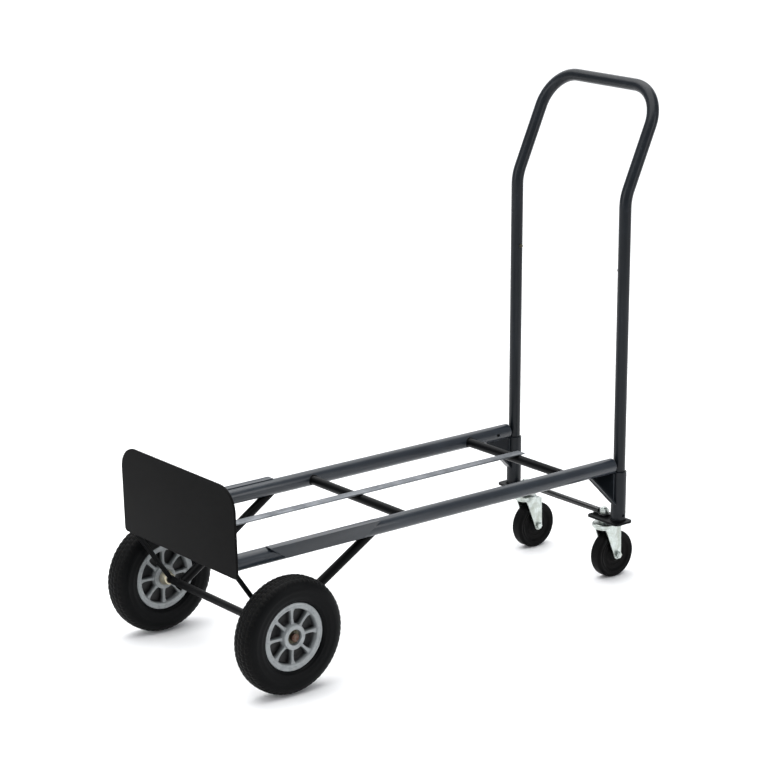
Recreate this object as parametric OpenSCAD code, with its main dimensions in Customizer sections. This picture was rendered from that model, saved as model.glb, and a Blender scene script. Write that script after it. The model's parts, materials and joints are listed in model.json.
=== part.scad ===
// Convertible hand truck, standing on its four wheels as a platform truck.
// +X runs from the toe plate to the handle, +Y to the right-hand side of a person who pushes,
// and +Z up. The origin is on the floor, under the middle of the whole truck.
// Inside the modules X is counted from the foot of the toe plate, and bench() shifts it.

/* [Side rails] */
// Distance between the axes of the two rails
rail_spacing = 330; // [290:1:400]
// Length of each rail
rail_length = 973; // [780:1:1170]
// Height of the rail axes above the floor
rail_z = 262.6; // [250:0.1:316]
// Outer diameter of the rails and of the handle sockets
rail_od = 31.75; // [29.5:0.05:38.1]
// Depth of the reamed chamfer inside the front end of each rail
rail_chamfer = 2; // [1.5:0.1:3]

/* [Rail guards] */
// Sheet thickness of the angle that covers the outer side of each rail
guard_t = 1.9; // [1.2:0.1:3]
// Distance from the toe plate to the guard's upper front corner
guard_start = 78; // [60:1:100]
// Length of the guard along its top edge
guard_length = 262; // [180:1:300]
// How far the bevelled ends slope back between top and bottom edge
guard_bevel = 40; // [15:1:60]
// How far the guard's side reaches below the rail axis
guard_drop = 9; // [4:0.5:14]

/* [Toe plate] */
// Width of the toe plate
plate_w = 376; // [340:1:451]
// Length of the toe plate, from its foot to its tip
plate_h = 177; // [145:1:215]
// Thickness of the toe plate
plate_t = 5; // [3:0.5:8]
// Height of the foot of the toe plate above the floor
plate_foot_z = 237; // [231:1:240]
// Lean of the toe plate away from the load bed, in degrees
plate_lean = 1.7; // [0:0.1:5]
// Radius of the two tip corners
tip_corner_r = 46; // [10:1:60]
// Radius of the two foot corners
foot_corner_r = 8; // [3:1:20]

/* [Load bed] */
// Outer diameter of the two cross tubes
cross_od = 19.05; // [16:0.05:22]
// Wall of the cross tubes and the rear struts
cross_wall = 1.6; // [1.2:0.1:2.5]
// How far the cross tubes lie below the rail axes
cross_drop = 0.8; // [0:0.1:6.2]
// Distance from the toe plate to the front cross tube
cross_front_x = 431; // [360:1:500]
// Distance from the toe plate to the rear cross tube
cross_rear_x = 854; // [560:1:860]
// Width of the flat strip down the middle of the bed
strip_w = 22; // [16:1:40]
// Thickness of the middle strip
strip_t = 3; // [2:0.5:5]
// How far the strip runs past the rear cross tube
strip_tail = 14; // [5:1:20]

/* [Axle and struts] */
// Distance from the toe plate to the axle
axle_x = 91.5; // [75:0.5:110]
// Diameter of the axle rod
axle_d = 15.88; // [14:0.02:18]
// How far the axle stands out past the outer face of each hub boss
axle_stand = 2; // [1:0.5:4]
// Outer diameter of the rear struts
strut_od = 19.05; // [16:0.05:19.5]
// Where the axis of a rear strut meets the rail axis
strut_top_x = 347; // [300:1:420]
// Distance from the middle of the truck to the foot of a rear strut
strut_foot_y = 157; // [140:0.5:157]
// How far behind the axle the axis of a rear strut passes, at the height of the axle
strut_back = 22; // [0:1:26]
// Diameter of the front strut rods
brace_d = 10; // [6:0.5:10]
// How far outside a rail's axis the front strut rod stands
brace_out = 7; // [0:0.5:9]
// Height of a front strut's upper end above the foot of the toe plate
brace_rise = 10; // [9:0.5:20]

/* [Front wheels] */
// Tyre radius
wheel_r = 116; // [97:0.5:117]
// Tyre width at its widest
wheel_w = 56; // [47:0.5:57]
// How far outside a rail's axis the middle of each front wheel is
wheel_out = 50; // [46:0.5:95]
// Radius of the rim lips, which show inside the tyre
rim_r = 67; // [60:0.5:72]
// Width of the moulded rim over its lips
rim_w = 38; // [32:0.5:42]
// Radius of the hub boss
boss_r = 24.5; // [20:0.5:30]
// Number of spokes in each hub
spokes = 8; // [5:1:12]
// Thickness of a spoke
spoke_t = 7; // [4:0.5:10]
// Radius of the recess in the outer face of the boss
recess_r = 15.5; // [14.5:0.5:18]
// Depth of that recess
recess_depth = 8; // [6:0.5:10]
// Wall of the flanged bushes between hub and axle
bush_wall = 3; // [2:0.5:4]

/* [Handle] */
// Outer diameter of the handle tube
handle_od = 25.4; // [22:0.1:27]
// Wall of the handle tube
handle_wall = 1.6; // [1.2:0.1:2.5]
// Gap between the rail ends and the handle legs
leg_gap = 9.3; // [4:0.1:20]
// Height at which the handle legs bend back
bend_z = 827; // [780:1:990]
// Angle of that bend, in degrees
bend_angle = 24.4; // [10:0.1:35]
// Radius of that bend, to the tube axis
bend_r = 90; // [60:1:120]
// Height of the top bar's axis
top_z = 1041; // [1000:1:1249]
// Radius of the top corners, to the tube axis
corner_r = 78; // [60:1:100]

/* [Snap buttons] */
// Height of the snap buttons in the handle legs
button_z = 675; // [500:1:740]
// Diameter of a snap button
button_d = 8; // [6:0.5:9]
// How far a button stands out of the handle tube
button_stand = 5.5; // [3:0.5:6]
// Distance from the open end of a rail to its button hole
button_hole_inset = 38; // [25:1:60]

/* [Handle sockets] */
// Length of a gusset along the underside of the rail
gusset_run = 68; // [45:1:90]
// Gap between the mounting plate and the lower tip of a gusset
gusset_gap = 38; // [10:1:45]
// Sheet thickness of the gussets
gusset_t = 3; // [2:0.5:5]
// Width of the folded flange along a gusset's sloping edge
gusset_flange_w = 18; // [10:1:24]
// Diameter of the drain hole in the outer side of a socket
drain_d = 7; // [4:0.5:9]
// Height of that hole above the mounting plate
drain_z = 12; // [8:1:20]

/* [Mounting plates] */
// Thickness of the plates that carry sockets and casters
mount_t = 5; // [3:0.5:8]
// How far a plate reaches forward of the handle leg
mount_front = 28; // [24:1:40]
// How far a plate reaches behind the handle leg
mount_rear = 21; // [18:1:40]
// How far a plate reaches out past the rail axis
mount_out = 25; // [18:1:40]
// How far a plate reaches in past the caster stem
mount_in = 28; // [20:1:50]
// Corner radius of the plates
mount_corner_r = 10; // [4:1:15]
// Diameter of the tie rod between the plates
tie_d = 13; // [10:0.5:16]
// Thickness of the flattened ends of the tie rod
tie_tab_t = 4; // [3:0.5:6]

/* [Casters] */
// Radius of a caster wheel
caster_r = 50.8; // [43:0.1:61]
// Width of a caster wheel
caster_w = 28; // [23:0.5:30]
// Distance from the middle of the truck to each swivel axis
caster_y = 125; // [110:1:127]
// How far the swivel axis lies in front of the handle leg
caster_setback = 1.5; // [0:0.5:5]
// Trail of the caster wheel behind the swivel axis
caster_trail = 24; // [20:1:30]
// Room between the wheel and the crown of the fork
crown_gap = 10; // [9:0.5:20]
// Sheet thickness of the fork
fork_t = 3; // [2:0.25:4]
// Room between the wheel and each fork leg
fork_side_gap = 2; // [1:0.25:3]
// Radius of the race cap over the ball ring
race_r = 25; // [24:0.5:28]
// Height of the shoulder between race cap and mounting plate
shoulder_h = 11; // [6:0.5:20]
// Diameter of the threaded stem
stem_d = 12.7; // [10:0.1:14]
// Balls in each swivel ring
balls = 12; // [8:1:12]
// Radius of a swivel ball
ball_r = 3; // [2.5:0.25:3]

/* [Fits] */
// Gap around the handle tube in a socket or a rail
handle_slip = 0.6; // [0.4:0.05:1]
// Radial running gap of a wheel or caster bore on its shaft
running_gap = 0.05; // [0.02:0.01:0.1]
// Radial gap of a bolt, stem or pin in its hole
hole_gap = 0.2; // [0.1:0.05:0.5]
// End gap between pieces that turn against each other
end_gap = 0.3; // [0.2:0.05:0.5]

/* [Hidden] */
$fn = 96;
frame_blue = [0.22, 0.26, 0.31];
coat_black = [0.05, 0.05, 0.055];
strip_grey = [0.45, 0.45, 0.46];
hub_grey = [0.62, 0.65, 0.68];
zinc = [0.75, 0.77, 0.74];
brass = [0.6, 0.45, 0.25];
rubber = [0.04, 0.04, 0.04];
plastic_black = [0.08, 0.08, 0.08];

// Rails and sockets: the bore is set by the handle tube that slides into it
rail_r = rail_od / 2;
rail_y = rail_spacing / 2;
brace_y = rail_y + brace_out;
wheel_y = rail_y + wheel_out;
handle_r = handle_od / 2;
rail_bore_r = handle_r + handle_slip;
leg_x = rail_length + leg_gap + handle_r;

// Caster heights, from the floor up to the mounting plate
crown_z = 2 * caster_r + crown_gap;
ball_z = crown_z + fork_t + ball_r + hole_gap;
race_z = ball_z + ball_r + hole_gap;
race_t = 3;
race_skirt = 5;
shoulder_z = race_z + race_t;
mount_z = shoulder_z + shoulder_h;
mount_top_z = mount_z + mount_t;
swivel_x = leg_x - caster_setback;
caster_axle_x = swivel_x + caster_trail;
fork_in = caster_w / 2 + fork_side_gap;
fork_out = fork_in + fork_t;
fork_tip_r = 9.5;
crown_r = 21.5;
crown_front = -12;
crown_rear = 32;
kingpin_r = 5;
kingpin_head_r = 8;
kingpin_head_h = 4;
ball_ring_r = 15;
caster_bolt_r = 4;
caster_sleeve_r = 6;
caster_core_r = 40;
caster_boss_r = 14;

// Stem nut, flattened tie rod ends
stem_r = stem_d / 2;
stem_nut_r = 10.5;
stem_nut_h = 10;
stem_end = 4;
tie_x = swivel_x;
tie_tab_r = 13;
tie_tab_neck = 14;

// The front struts are drawn past the toe plate by this factor, then cut back to it
brace_reach = 1.15;

// Front wheels: axial stations, counted outward from the middle of the wheel
axle_r = axle_d / 2;
lip_h = 5;
lip_t = 4;
rim_seat_r = rim_r - lip_h;
rim_wall = 7;
web_t = 5;
spoke_inset = 4;
boss_in = -20;
boss_out = 22;
recess_floor = boss_out - recess_depth;
bush_bore_r = axle_r + running_gap;
bush_r = axle_r + bush_wall;
bush_flange_r = 14;
bush_flange_t = 2;
bush_length = 20;
washer_t = 1.6;
washer_r = 13.5;
washer_at = recess_floor + bush_flange_t + end_gap;
pin_r = 1.5;
pin_eye_r = 3;
pin_at = washer_at + washer_t + pin_eye_r + hole_gap;
pin_reach = 12;
collar_small_r = 11;
collar_large_r = 16;

// Handle: the slanted part rises from the bend to the top bar
top_rise = (top_z - bend_z) / cos(bend_angle);
top_x = leg_x + (top_z - bend_z) * tan(bend_angle);
bend_tangent = bend_r * tan(bend_angle / 2);
bend_draw = 0.15;
bend_lap = 0.8;
plug_flange_t = 3;
plug_depth = 16;
leg_foot_z = mount_top_z + plug_flange_t;

// Snap button and its leaf spring, measured outward from the axis of the handle leg
handle_bore_r = handle_r - handle_wall;
button_r = button_d / 2;
button_flange_r = 5.5;
button_flange_t = 1.5;
button_flange_at = 9.2;
leaf_w = 7;
leaf_t = 0.8;
leaf_below = 42;
leaf_above = 8;
leaf_back = -10.2;

// The whole truck is centred on its overall box along X
plate_tip_x = -(plate_t * cos(plate_lean) + plate_h * sin(plate_lean));
x_front = min(plate_tip_x, axle_x - wheel_r);
x_rear = max(top_x + handle_r, caster_axle_x + caster_r);
x_mid = (x_front + x_rear) / 2;

// ---- Helpers ----

// Shifts a piece from toe-plate coordinates to the truck's own frame
module bench() {
    translate([-x_mid, 0, 0]) children();
}

// Everything sided is drawn on the right (+Y); side -1 mirrors it to the left
module on_side(side) {
    bench() mirror([0, side < 0 ? 1 : 0, 0]) children();
}

// Cylinder along +X from the origin
module rod_x(r, length) {
    rotate([0, 90, 0]) cylinder(r = r, h = length);
}

// Cylinder along +Y from the origin
module rod_y(r, length) {
    rotate([-90, 0, 0]) cylinder(r = r, h = length);
}

// Cylinder from point a to point b
module rod_between(a, b, r) {
    run = b - a;
    flat = norm([run[0], run[1], 0]);
    translate(a)
        rotate([0, atan2(flat, run[2]), atan2(run[1], run[0])])
            cylinder(r = r, h = norm(run));
}

// Rectangle from the origin with a round notch cut from each corner, so that it is rounded
module corner_notch(r) {
    difference() {
        translate([-1, -1]) square(r + 1);
        translate([r, r]) circle(r = r);
    }
}

// Solid of the rail or socket outside, used to cope what is welded to it
module rail_envelope() {
    translate([-plate_t, rail_y, rail_z]) rod_x(rail_r, rail_length + plate_t);
}

module axle_envelope() {
    translate([axle_x, 0, wheel_r]) rod_y(axle_r, rail_spacing);
}

module socket_envelope() {
    translate([leg_x, rail_y, mount_top_z]) cylinder(r = rail_r, h = rail_z - rail_r - mount_top_z);
}

// ---- Toe plate and rails ----

module toe_outline() {
    difference() {
        translate([-plate_w / 2, 0]) square([plate_w, plate_h]);
        for (s = [0, 1]) mirror([s, 0]) {
            translate([-plate_w / 2, 0]) corner_notch(foot_corner_r);
            translate([-plate_w / 2, plate_h]) mirror([0, 1]) corner_notch(tip_corner_r);
        }
    }
}

// Drawn in toe-plate coordinates: the foot of its rear face is at X = 0
module toe_blank() {
    translate([0, 0, plate_foot_z])
        rotate([0, -plate_lean, 0])
            translate([-plate_t, 0, 0])
                rotate([90, 0, 90])
                    linear_extrude(plate_t) toe_outline();
}

// Everything ahead of the toe plate's rear face, cut from what is welded to that face
module ahead_of_toe() {
    translate([0, 0, plate_foot_z])
        rotate([0, -plate_lean, 0])
            translate([-plate_h, -plate_w, -plate_h])
                cube([plate_h, 2 * plate_w, 3 * plate_h]);
}

module toe_plate() {
    color(coat_black) bench() toe_blank();
}

module rail(side) {
    color(frame_blue) on_side(side) difference() {
        translate([-plate_t / 2, rail_y, rail_z]) rod_x(rail_r, rail_length + plate_t / 2);
        translate([-plate_t, rail_y, rail_z]) rod_x(rail_bore_r, rail_length + 2 * plate_t);
        translate([-plate_t, rail_y, rail_z]) rotate([0, 90, 0])
            cylinder(r1 = rail_bore_r + rail_chamfer, r2 = rail_bore_r, h = plate_t + rail_chamfer);
        translate([rail_length - button_hole_inset, rail_y - 2 * rail_r, rail_z])
            rod_y(button_r + hole_gap, 2 * rail_r);
        ahead_of_toe();
    }
}

// Angle section that lies on the top and the outer side of the rail
module guard_section() {
    outer = rail_r + guard_t;
    polygon([
        [0, rail_r], [rail_r, rail_r], [rail_r, -guard_drop],
        [outer, -guard_drop], [outer, outer], [0, outer]
    ]);
}

module rail_guard(side) {
    top = rail_r + guard_t;
    color(frame_blue) on_side(side) translate([0, rail_y, rail_z]) intersection() {
        rotate([90, 0, 90]) linear_extrude(rail_length) guard_section();
        translate([0, 2 * top, 0]) rotate([90, 0, 0]) linear_extrude(3 * top) polygon([
            [guard_start, top + 1], [guard_start, rail_r],
            [guard_start + guard_bevel, -guard_drop - 1],
            [guard_start + guard_length - guard_bevel, -guard_drop - 1],
            [guard_start + guard_length, rail_r], [guard_start + guard_length, top + 1]
        ]);
    }
}

// ---- Load bed ----

module cross_tube(x) {
    color(coat_black) bench() translate([x, 0, rail_z - cross_drop]) difference() {
        translate([0, -rail_y + 1, 0]) rod_y(cross_od / 2, rail_spacing - 2);
        translate([0, -rail_y, 0]) rod_y(cross_od / 2 - cross_wall, rail_spacing);
        for (s = [-1, 1])
            translate([-cross_od, s * rail_y, cross_drop]) rod_x(rail_r, 2 * cross_od);
    }
}

module bed_strip() {
    strip_z = rail_z - cross_drop + cross_od / 2;
    color(strip_grey) bench() difference() {
        translate([-plate_t / 2, -strip_w / 2, strip_z])
            cube([cross_rear_x + strip_tail + plate_t / 2, strip_w, strip_t]);
        ahead_of_toe();
    }
}

// ---- Axle and struts ----

module rear_strut(side) {
    head = [strut_top_x, rail_y, rail_z];
    low = [axle_x + strut_back, strut_foot_y, wheel_r];
    foot = low + strut_back / norm(low - head) * (low - head);
    color(coat_black) on_side(side) difference() {
        rod_between(foot, head, strut_od / 2);
        rod_between(foot, head, strut_od / 2 - cross_wall);
        axle_envelope();
        rail_envelope();
    }
}

module front_strut(side) {
    foot = [axle_x, brace_y, wheel_r];
    weld = [0, brace_y, plate_foot_z + brace_rise];
    color(coat_black) on_side(side) difference() {
        rod_between(foot, foot + brace_reach * (weld - foot), brace_d / 2);
        ahead_of_toe();
        axle_envelope();
        rail_envelope();
    }
}

module axle() {
    half = wheel_y + boss_out + axle_stand;
    color(coat_black) bench() translate([axle_x, 0, wheel_r]) difference() {
        translate([0, -half, 0]) rod_y(axle_r, 2 * half);
        for (s = [-1, 1])
            translate([0, s * (wheel_y + pin_at), -axle_d]) cylinder(r = pin_r + hole_gap, h = 2 * axle_d);
    }
}

// Coned spacers that keep the hubs clear of the struts
module axle_collars() {
    near = brace_y + brace_d / 2 + end_gap;
    far = wheel_y + boss_in - bush_flange_t - end_gap;
    color(zinc) for (side = [-1, 1]) on_side(side) translate([axle_x, near, wheel_r]) difference() {
        rotate([-90, 0, 0]) cylinder(r1 = collar_small_r, r2 = collar_large_r, h = far - near);
        translate([0, -1, 0]) rod_y(axle_r, far - near + 2);
    }
}

module axle_washers() {
    color(zinc) for (side = [-1, 1])
        on_side(side) translate([axle_x, wheel_y + washer_at, wheel_r]) difference() {
            rod_y(washer_r, washer_t);
            translate([0, -1, 0]) rod_y(axle_r, washer_t + 2);
        }
}

// Split pins, upright through the ends of the axle
module cotter_pins() {
    color(zinc) for (side = [-1, 1])
        on_side(side) translate([axle_x, wheel_y + pin_at, wheel_r - pin_reach]) {
            cylinder(r = pin_r, h = 2 * pin_reach);
            translate([0, 0, 2 * pin_reach]) sphere(r = pin_eye_r);
        }
}

// ---- Front wheels ----

module at_wheel(side) {
    on_side(side) translate([axle_x, wheel_y, wheel_r]) rotate([-90, 0, 0]) children();
}

// Half section of the tyre: bead between the rim lips, bulging side wall, rounded tread
module tyre_section() {
    bead = rim_w / 2 - lip_t;
    lip = rim_r + 0.4;
    bulge_r = rim_r + 0.45 * (wheel_r - rim_r);
    half = wheel_w / 2;
    low = [for (a = [90 : -15 : 15]) [bulge_r - (bulge_r - lip) * sin(a), bead + lip_t + (half - bead - lip_t) * cos(a)]];
    high = [for (a = [0 : 7.5 : 90]) [bulge_r + (wheel_r - bulge_r) * pow(sin(a), 0.8), half * pow(cos(a), 0.8)]];
    right = concat([[rim_seat_r, bead], [lip, bead]], low, high);
    left = [for (i = [len(right) - 2 : -1 : 0]) [right[i][0], -right[i][1]]];
    polygon(concat(right, left));
}

module tyre(side) {
    color(rubber) at_wheel(side) rotate_extrude() tyre_section();
}

module rim_section() {
    half = rim_w / 2;
    inner = rim_seat_r - rim_wall;
    polygon([
        [inner, -half], [rim_r, -half], [rim_r, lip_t - half], [rim_seat_r, lip_t - half],
        [rim_seat_r, half - lip_t], [rim_r, half - lip_t], [rim_r, half], [inner, half]
    ]);
}

module hub(side) {
    spoke_h = rim_w - 2 * spoke_inset;
    inner = rim_seat_r - rim_wall;
    color(hub_grey) at_wheel(side) difference() {
        union() {
            rotate_extrude() rim_section();
            translate([0, 0, boss_in]) cylinder(r = boss_r, h = boss_out - boss_in);
            translate([0, 0, -web_t / 2]) cylinder(r = inner + 1, h = web_t);
            for (i = [0 : spokes - 1]) rotate([0, 0, i * 360 / spokes])
                translate([boss_r - 3, -spoke_t / 2, -spoke_h / 2])
                    cube([inner + 1 - boss_r + 3, spoke_t, spoke_h]);
        }
        translate([0, 0, boss_in - 1]) cylinder(r = bush_r, h = boss_out - boss_in + 2);
        translate([0, 0, recess_floor]) cylinder(r = recess_r, h = recess_depth + 1);
    }
}

// One flanged bush from each end of the hub
module hub_bushes(side) {
    color(brass) at_wheel(side) difference() {
        union() {
            translate([0, 0, recess_floor - bush_length]) cylinder(r = bush_r, h = bush_length);
            translate([0, 0, recess_floor]) cylinder(r = bush_flange_r, h = bush_flange_t);
            translate([0, 0, boss_in]) cylinder(r = bush_r, h = bush_length - 8);
            translate([0, 0, boss_in - bush_flange_t]) cylinder(r = bush_flange_r, h = bush_flange_t);
        }
        translate([0, 0, boss_in - bush_flange_t - 1]) cylinder(r = bush_bore_r, h = boss_out - boss_in + 8);
    }
}

// ---- Sockets, gussets and mounting plates ----

module socket(side) {
    height = rail_z - rail_r - mount_top_z;
    color(frame_blue) on_side(side) translate([leg_x, rail_y, mount_top_z]) difference() {
        cylinder(r = rail_r, h = height);
        translate([0, 0, -1]) cylinder(r = rail_bore_r, h = height + 2);
        translate([0, 0, drain_z]) rod_y(drain_d / 2, 2 * rail_r);
    }
}

// Triangular web with a flange folded along its sloping edge
module gusset(side) {
    front = leg_x - rail_r;
    top = rail_z - rail_r;
    foot = mount_top_z + gusset_gap;
    slope = atan2(top - foot, gusset_run);
    color(frame_blue) on_side(side) difference() {
        union() {
            translate([0, rail_y + gusset_t / 2, 0]) rotate([90, 0, 0]) linear_extrude(gusset_t) polygon([
                [front - gusset_run, top], [front, foot], [front + 3, foot], [front + 3, top + 1],
                [front - gusset_run, top + 1]
            ]);
            translate([front - gusset_run, rail_y - gusset_flange_w / 2, top])
                rotate([0, slope, 0])
                    cube([norm([gusset_run, top - foot]), gusset_flange_w, gusset_t]);
        }
        rail_envelope();
        socket_envelope();
    }
}

module mount_outline() {
    size = [mount_front + mount_rear, rail_y + mount_out - caster_y + mount_in];
    difference() {
        square(size);
        corner_notch(mount_corner_r);
        translate([size[0], 0]) mirror([1, 0]) corner_notch(mount_corner_r);
        translate([0, size[1]]) mirror([0, 1]) corner_notch(mount_corner_r);
        translate(size) mirror([1, 0]) mirror([0, 1]) corner_notch(mount_corner_r);
    }
}

module mount_plate(side) {
    color(coat_black) on_side(side) difference() {
        translate([leg_x - mount_front, caster_y - mount_in, mount_z]) linear_extrude(mount_t) mount_outline();
        translate([swivel_x, caster_y, mount_z - 1]) cylinder(r = stem_r + hole_gap, h = mount_t + 2);
    }
}

// Rod with flattened ends that the caster stems pass through
module tie_rod() {
    rod_half = caster_y - tie_tab_neck;
    color(zinc) bench() translate([tie_x, 0, mount_top_z]) difference() {
        union() {
            translate([0, -rod_half, tie_d / 2]) rod_y(tie_d / 2, 2 * rod_half);
            for (s = [-1, 1]) {
                translate([0, s * caster_y, 0]) cylinder(r = tie_tab_r, h = tie_tab_t);
                translate([-tie_d / 2, s > 0 ? rod_half - tie_d : -caster_y, 0])
                    cube([tie_d, caster_y - rod_half + tie_d, tie_tab_t]);
            }
        }
        for (s = [-1, 1])
            translate([0, s * caster_y, -1]) cylinder(r = stem_r + hole_gap, h = tie_tab_t + 2);
    }
}

// ---- Casters: the stem and the race cap stay with the frame ----

module at_caster(side) {
    on_side(side) translate([swivel_x, caster_y, 0]) children();
}

module stem_nuts() {
    nut_z = mount_top_z + tie_tab_t;
    color(zinc) for (side = [-1, 1]) at_caster(side) translate([0, 0, nut_z]) difference() {
        intersection() {
            cylinder(r = stem_nut_r, h = stem_nut_h, $fn = 6);
            cylinder(r1 = stem_nut_r + 2, r2 = stem_nut_r - 1, h = stem_nut_h);
        }
        translate([0, 0, -1]) cylinder(r = stem_r, h = stem_nut_h + 2);
    }
}

module caster_stem(side) {
    stem_top = mount_top_z + tie_tab_t + stem_nut_h + stem_end;
    head_z = crown_z - hole_gap - kingpin_head_h;
    color(zinc) at_caster(side) {
        translate([0, 0, head_z]) cylinder(r = kingpin_head_r, h = kingpin_head_h);
        translate([0, 0, head_z]) cylinder(r = kingpin_r, h = shoulder_z - head_z);
        translate([0, 0, shoulder_z]) cylinder(r = stem_r + 4, h = shoulder_h);
        translate([0, 0, shoulder_z]) cylinder(r = stem_r, h = stem_top - shoulder_z);
    }
}

module race_cap(side) {
    color(zinc) at_caster(side) translate([0, 0, race_z]) rotate_extrude() polygon([
        [kingpin_r, 0], [race_r - race_t / 2, 0], [race_r - race_t / 2, -race_skirt], [race_r, -race_skirt],
        [race_r, race_t - 2], [race_r - 2, race_t], [kingpin_r, race_t]
    ]);
}

// ---- Casters: fork, balls and wheel axle turn with the swivel ----

// Point where the line from p touches the circle of radius r about c, on its left side
function tangent_point(p, c, r) =
    let (d = c - p, reach = norm(d), lean = asin(r / reach), heading = atan2(d[1], d[0]) - lean)
    p + sqrt(reach * reach - r * r) * [cos(heading), sin(heading)];

module fork_leg_outline() {
    tip = [caster_trail, caster_r];
    top = crown_z + fork_t;
    corner = [crown_front, top];
    difference() {
        union() {
            polygon([corner, tangent_point(corner, tip, fork_tip_r), tip, [tip[0] + fork_tip_r, tip[1]], [crown_rear, top]]);
            translate(tip) circle(r = fork_tip_r);
        }
        translate(tip) circle(r = caster_bolt_r + hole_gap);
    }
}

module fork(side) {
    color(zinc) at_caster(side) difference() {
        union() {
            for (y = [-fork_in, fork_out])
                translate([0, y, 0]) rotate([90, 0, 0]) linear_extrude(fork_t) fork_leg_outline();
            translate([crown_front, -fork_out, crown_z]) cube([crown_rear - crown_front, 2 * fork_out, fork_t]);
            translate([0, 0, crown_z]) cylinder(r = crown_r, h = fork_t);
        }
        translate([0, 0, crown_z - 1]) cylinder(r = kingpin_r + hole_gap, h = fork_t + 2);
    }
}

module ball_ring(side) {
    color(zinc) at_caster(side) for (i = [0 : balls - 1])
        rotate([0, 0, i * 360 / balls]) translate([ball_ring_r, 0, ball_z]) sphere(r = ball_r, $fn = 24);
}

module at_caster_axle(side) {
    at_caster(side) translate([caster_trail, 0, caster_r]) rotate([-90, 0, 0]) children();
}

// Plain sleeve that the fork legs clamp and the wheel turns on
module caster_sleeve(side) {
    half = fork_in - hole_gap / 2;
    color(zinc) at_caster_axle(side) difference() {
        translate([0, 0, -half]) cylinder(r = caster_sleeve_r, h = 2 * half);
        translate([0, 0, -half - 1]) cylinder(r = caster_bolt_r + hole_gap, h = 2 * half + 2);
    }
}

module caster_bolt(side) {
    head_h = 5;
    end = fork_out + 8;
    color(zinc) at_caster_axle(side) {
        translate([0, 0, -fork_out - head_h]) cylinder(r = 7.2, h = head_h, $fn = 6);
        translate([0, 0, -fork_out - 1]) cylinder(r = caster_bolt_r, h = end + fork_out + 1);
    }
}

module caster_nut(side) {
    color(zinc) at_caster_axle(side) translate([0, 0, fork_out]) difference() {
        cylinder(r = 7.2, h = 6, $fn = 6);
        translate([0, 0, -1]) cylinder(r = caster_bolt_r, h = 8);
    }
}

// Solid tread with rounded shoulders
module caster_tread(side) {
    half = caster_w / 2;
    round_r = 6;
    shoulder = [for (a = [0 : 15 : 90]) [caster_r - round_r + round_r * cos(a), half - round_r + round_r * sin(a)]];
    lower = [for (i = [len(shoulder) - 1 : -1 : 0]) [shoulder[i][0], -shoulder[i][1]]];
    color(rubber) at_caster_axle(side) rotate_extrude()
        polygon(concat([[caster_core_r, -half]], lower, shoulder, [[caster_core_r, half]]));
}

// Dished core with a full-width boss
module caster_core(side) {
    half = caster_w / 2;
    dish = half - 4;
    bore = caster_sleeve_r + running_gap;
    color(plastic_black) at_caster_axle(side) rotate_extrude() polygon([
        [bore, -half], [caster_boss_r, -half], [caster_boss_r + 2, -dish], [caster_core_r - 4, -dish],
        [caster_core_r - 2, -half], [caster_core_r, -half], [caster_core_r, half], [caster_core_r - 2, half],
        [caster_core_r - 4, dish], [caster_boss_r + 2, dish], [caster_boss_r, half], [bore, half]
    ]);
}

// ---- Handle ----

// Moves from a leg's axis at bend height into the slanted plane of the upper handle
module in_slant() {
    translate([leg_x, 0, bend_z]) rotate([0, bend_angle, 0]) children();
}

// The bent loop as a solid of radius r, reaching down to height foot. The tube draws in a
// little where it is bent, so each straight stretch laps over the ends of the bends.
module handle_loop(r, foot) {
    bent_r = r - bend_draw;
    leg_top = bend_z - bend_tangent;
    for (s = [-1, 1]) {
        translate([leg_x, s * rail_y, foot]) cylinder(r = r, h = leg_top + bend_lap - foot);
        translate([leg_x + bend_r, s * rail_y, leg_top])
            rotate([90, 0, 0]) rotate([0, 0, 180 - bend_angle])
                rotate_extrude(angle = bend_angle) translate([bend_r, 0]) circle(r = bent_r);
        in_slant() translate([0, s * rail_y, bend_tangent - bend_lap])
            cylinder(r = r, h = top_rise - corner_r - bend_tangent + 2 * bend_lap);
        in_slant() translate([0, s * (rail_y - corner_r), top_rise - corner_r])
            rotate([90, 0, 90]) rotate([0, 0, s > 0 ? 0 : 90])
                rotate_extrude(angle = 90) translate([corner_r, 0]) circle(r = bent_r);
    }
    in_slant() translate([0, corner_r - rail_y - bend_lap, top_rise])
        rod_y(r, rail_spacing - 2 * corner_r + 2 * bend_lap);
}

module handle_tube() {
    color(frame_blue) bench() difference() {
        handle_loop(handle_r, leg_foot_z);
        handle_loop(handle_bore_r, leg_foot_z - 1);
        for (s = [-1, 1])
            translate([leg_x, s * rail_y, button_z]) mirror([0, s > 0 ? 1 : 0, 0])
                rod_y(button_r + hole_gap, 2 * handle_r);
    }
}

// Plastic plugs that close the feet of the handle and stand on the mounting plates
module handle_plugs() {
    color(plastic_black) for (side = [-1, 1])
        on_side(side) translate([leg_x, rail_y, mount_top_z]) {
            cylinder(r = handle_r, h = plug_flange_t);
            cylinder(r = handle_bore_r, h = plug_flange_t + plug_depth);
        }
}

// Stands in a handle leg, with +Y from its axis towards the middle of the truck
module at_button(side) {
    on_side(side) translate([leg_x, rail_y, button_z]) mirror([0, 1, 0]) children();
}

// Round button with a flange that stops it inside the tube
module snap_button(side) {
    dome_r = button_r;
    straight = handle_r + button_stand - dome_r - button_flange_at;
    color(zinc) at_button(side) {
        translate([0, button_flange_at - button_flange_t, 0]) rod_y(button_flange_r, button_flange_t);
        translate([0, button_flange_at - button_flange_t, 0]) rod_y(button_r, straight + button_flange_t);
        translate([0, button_flange_at + straight, 0]) intersection() {
            sphere(r = dome_r);
            rod_y(dome_r + 1, dome_r + 1);
        }
    }
}

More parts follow.
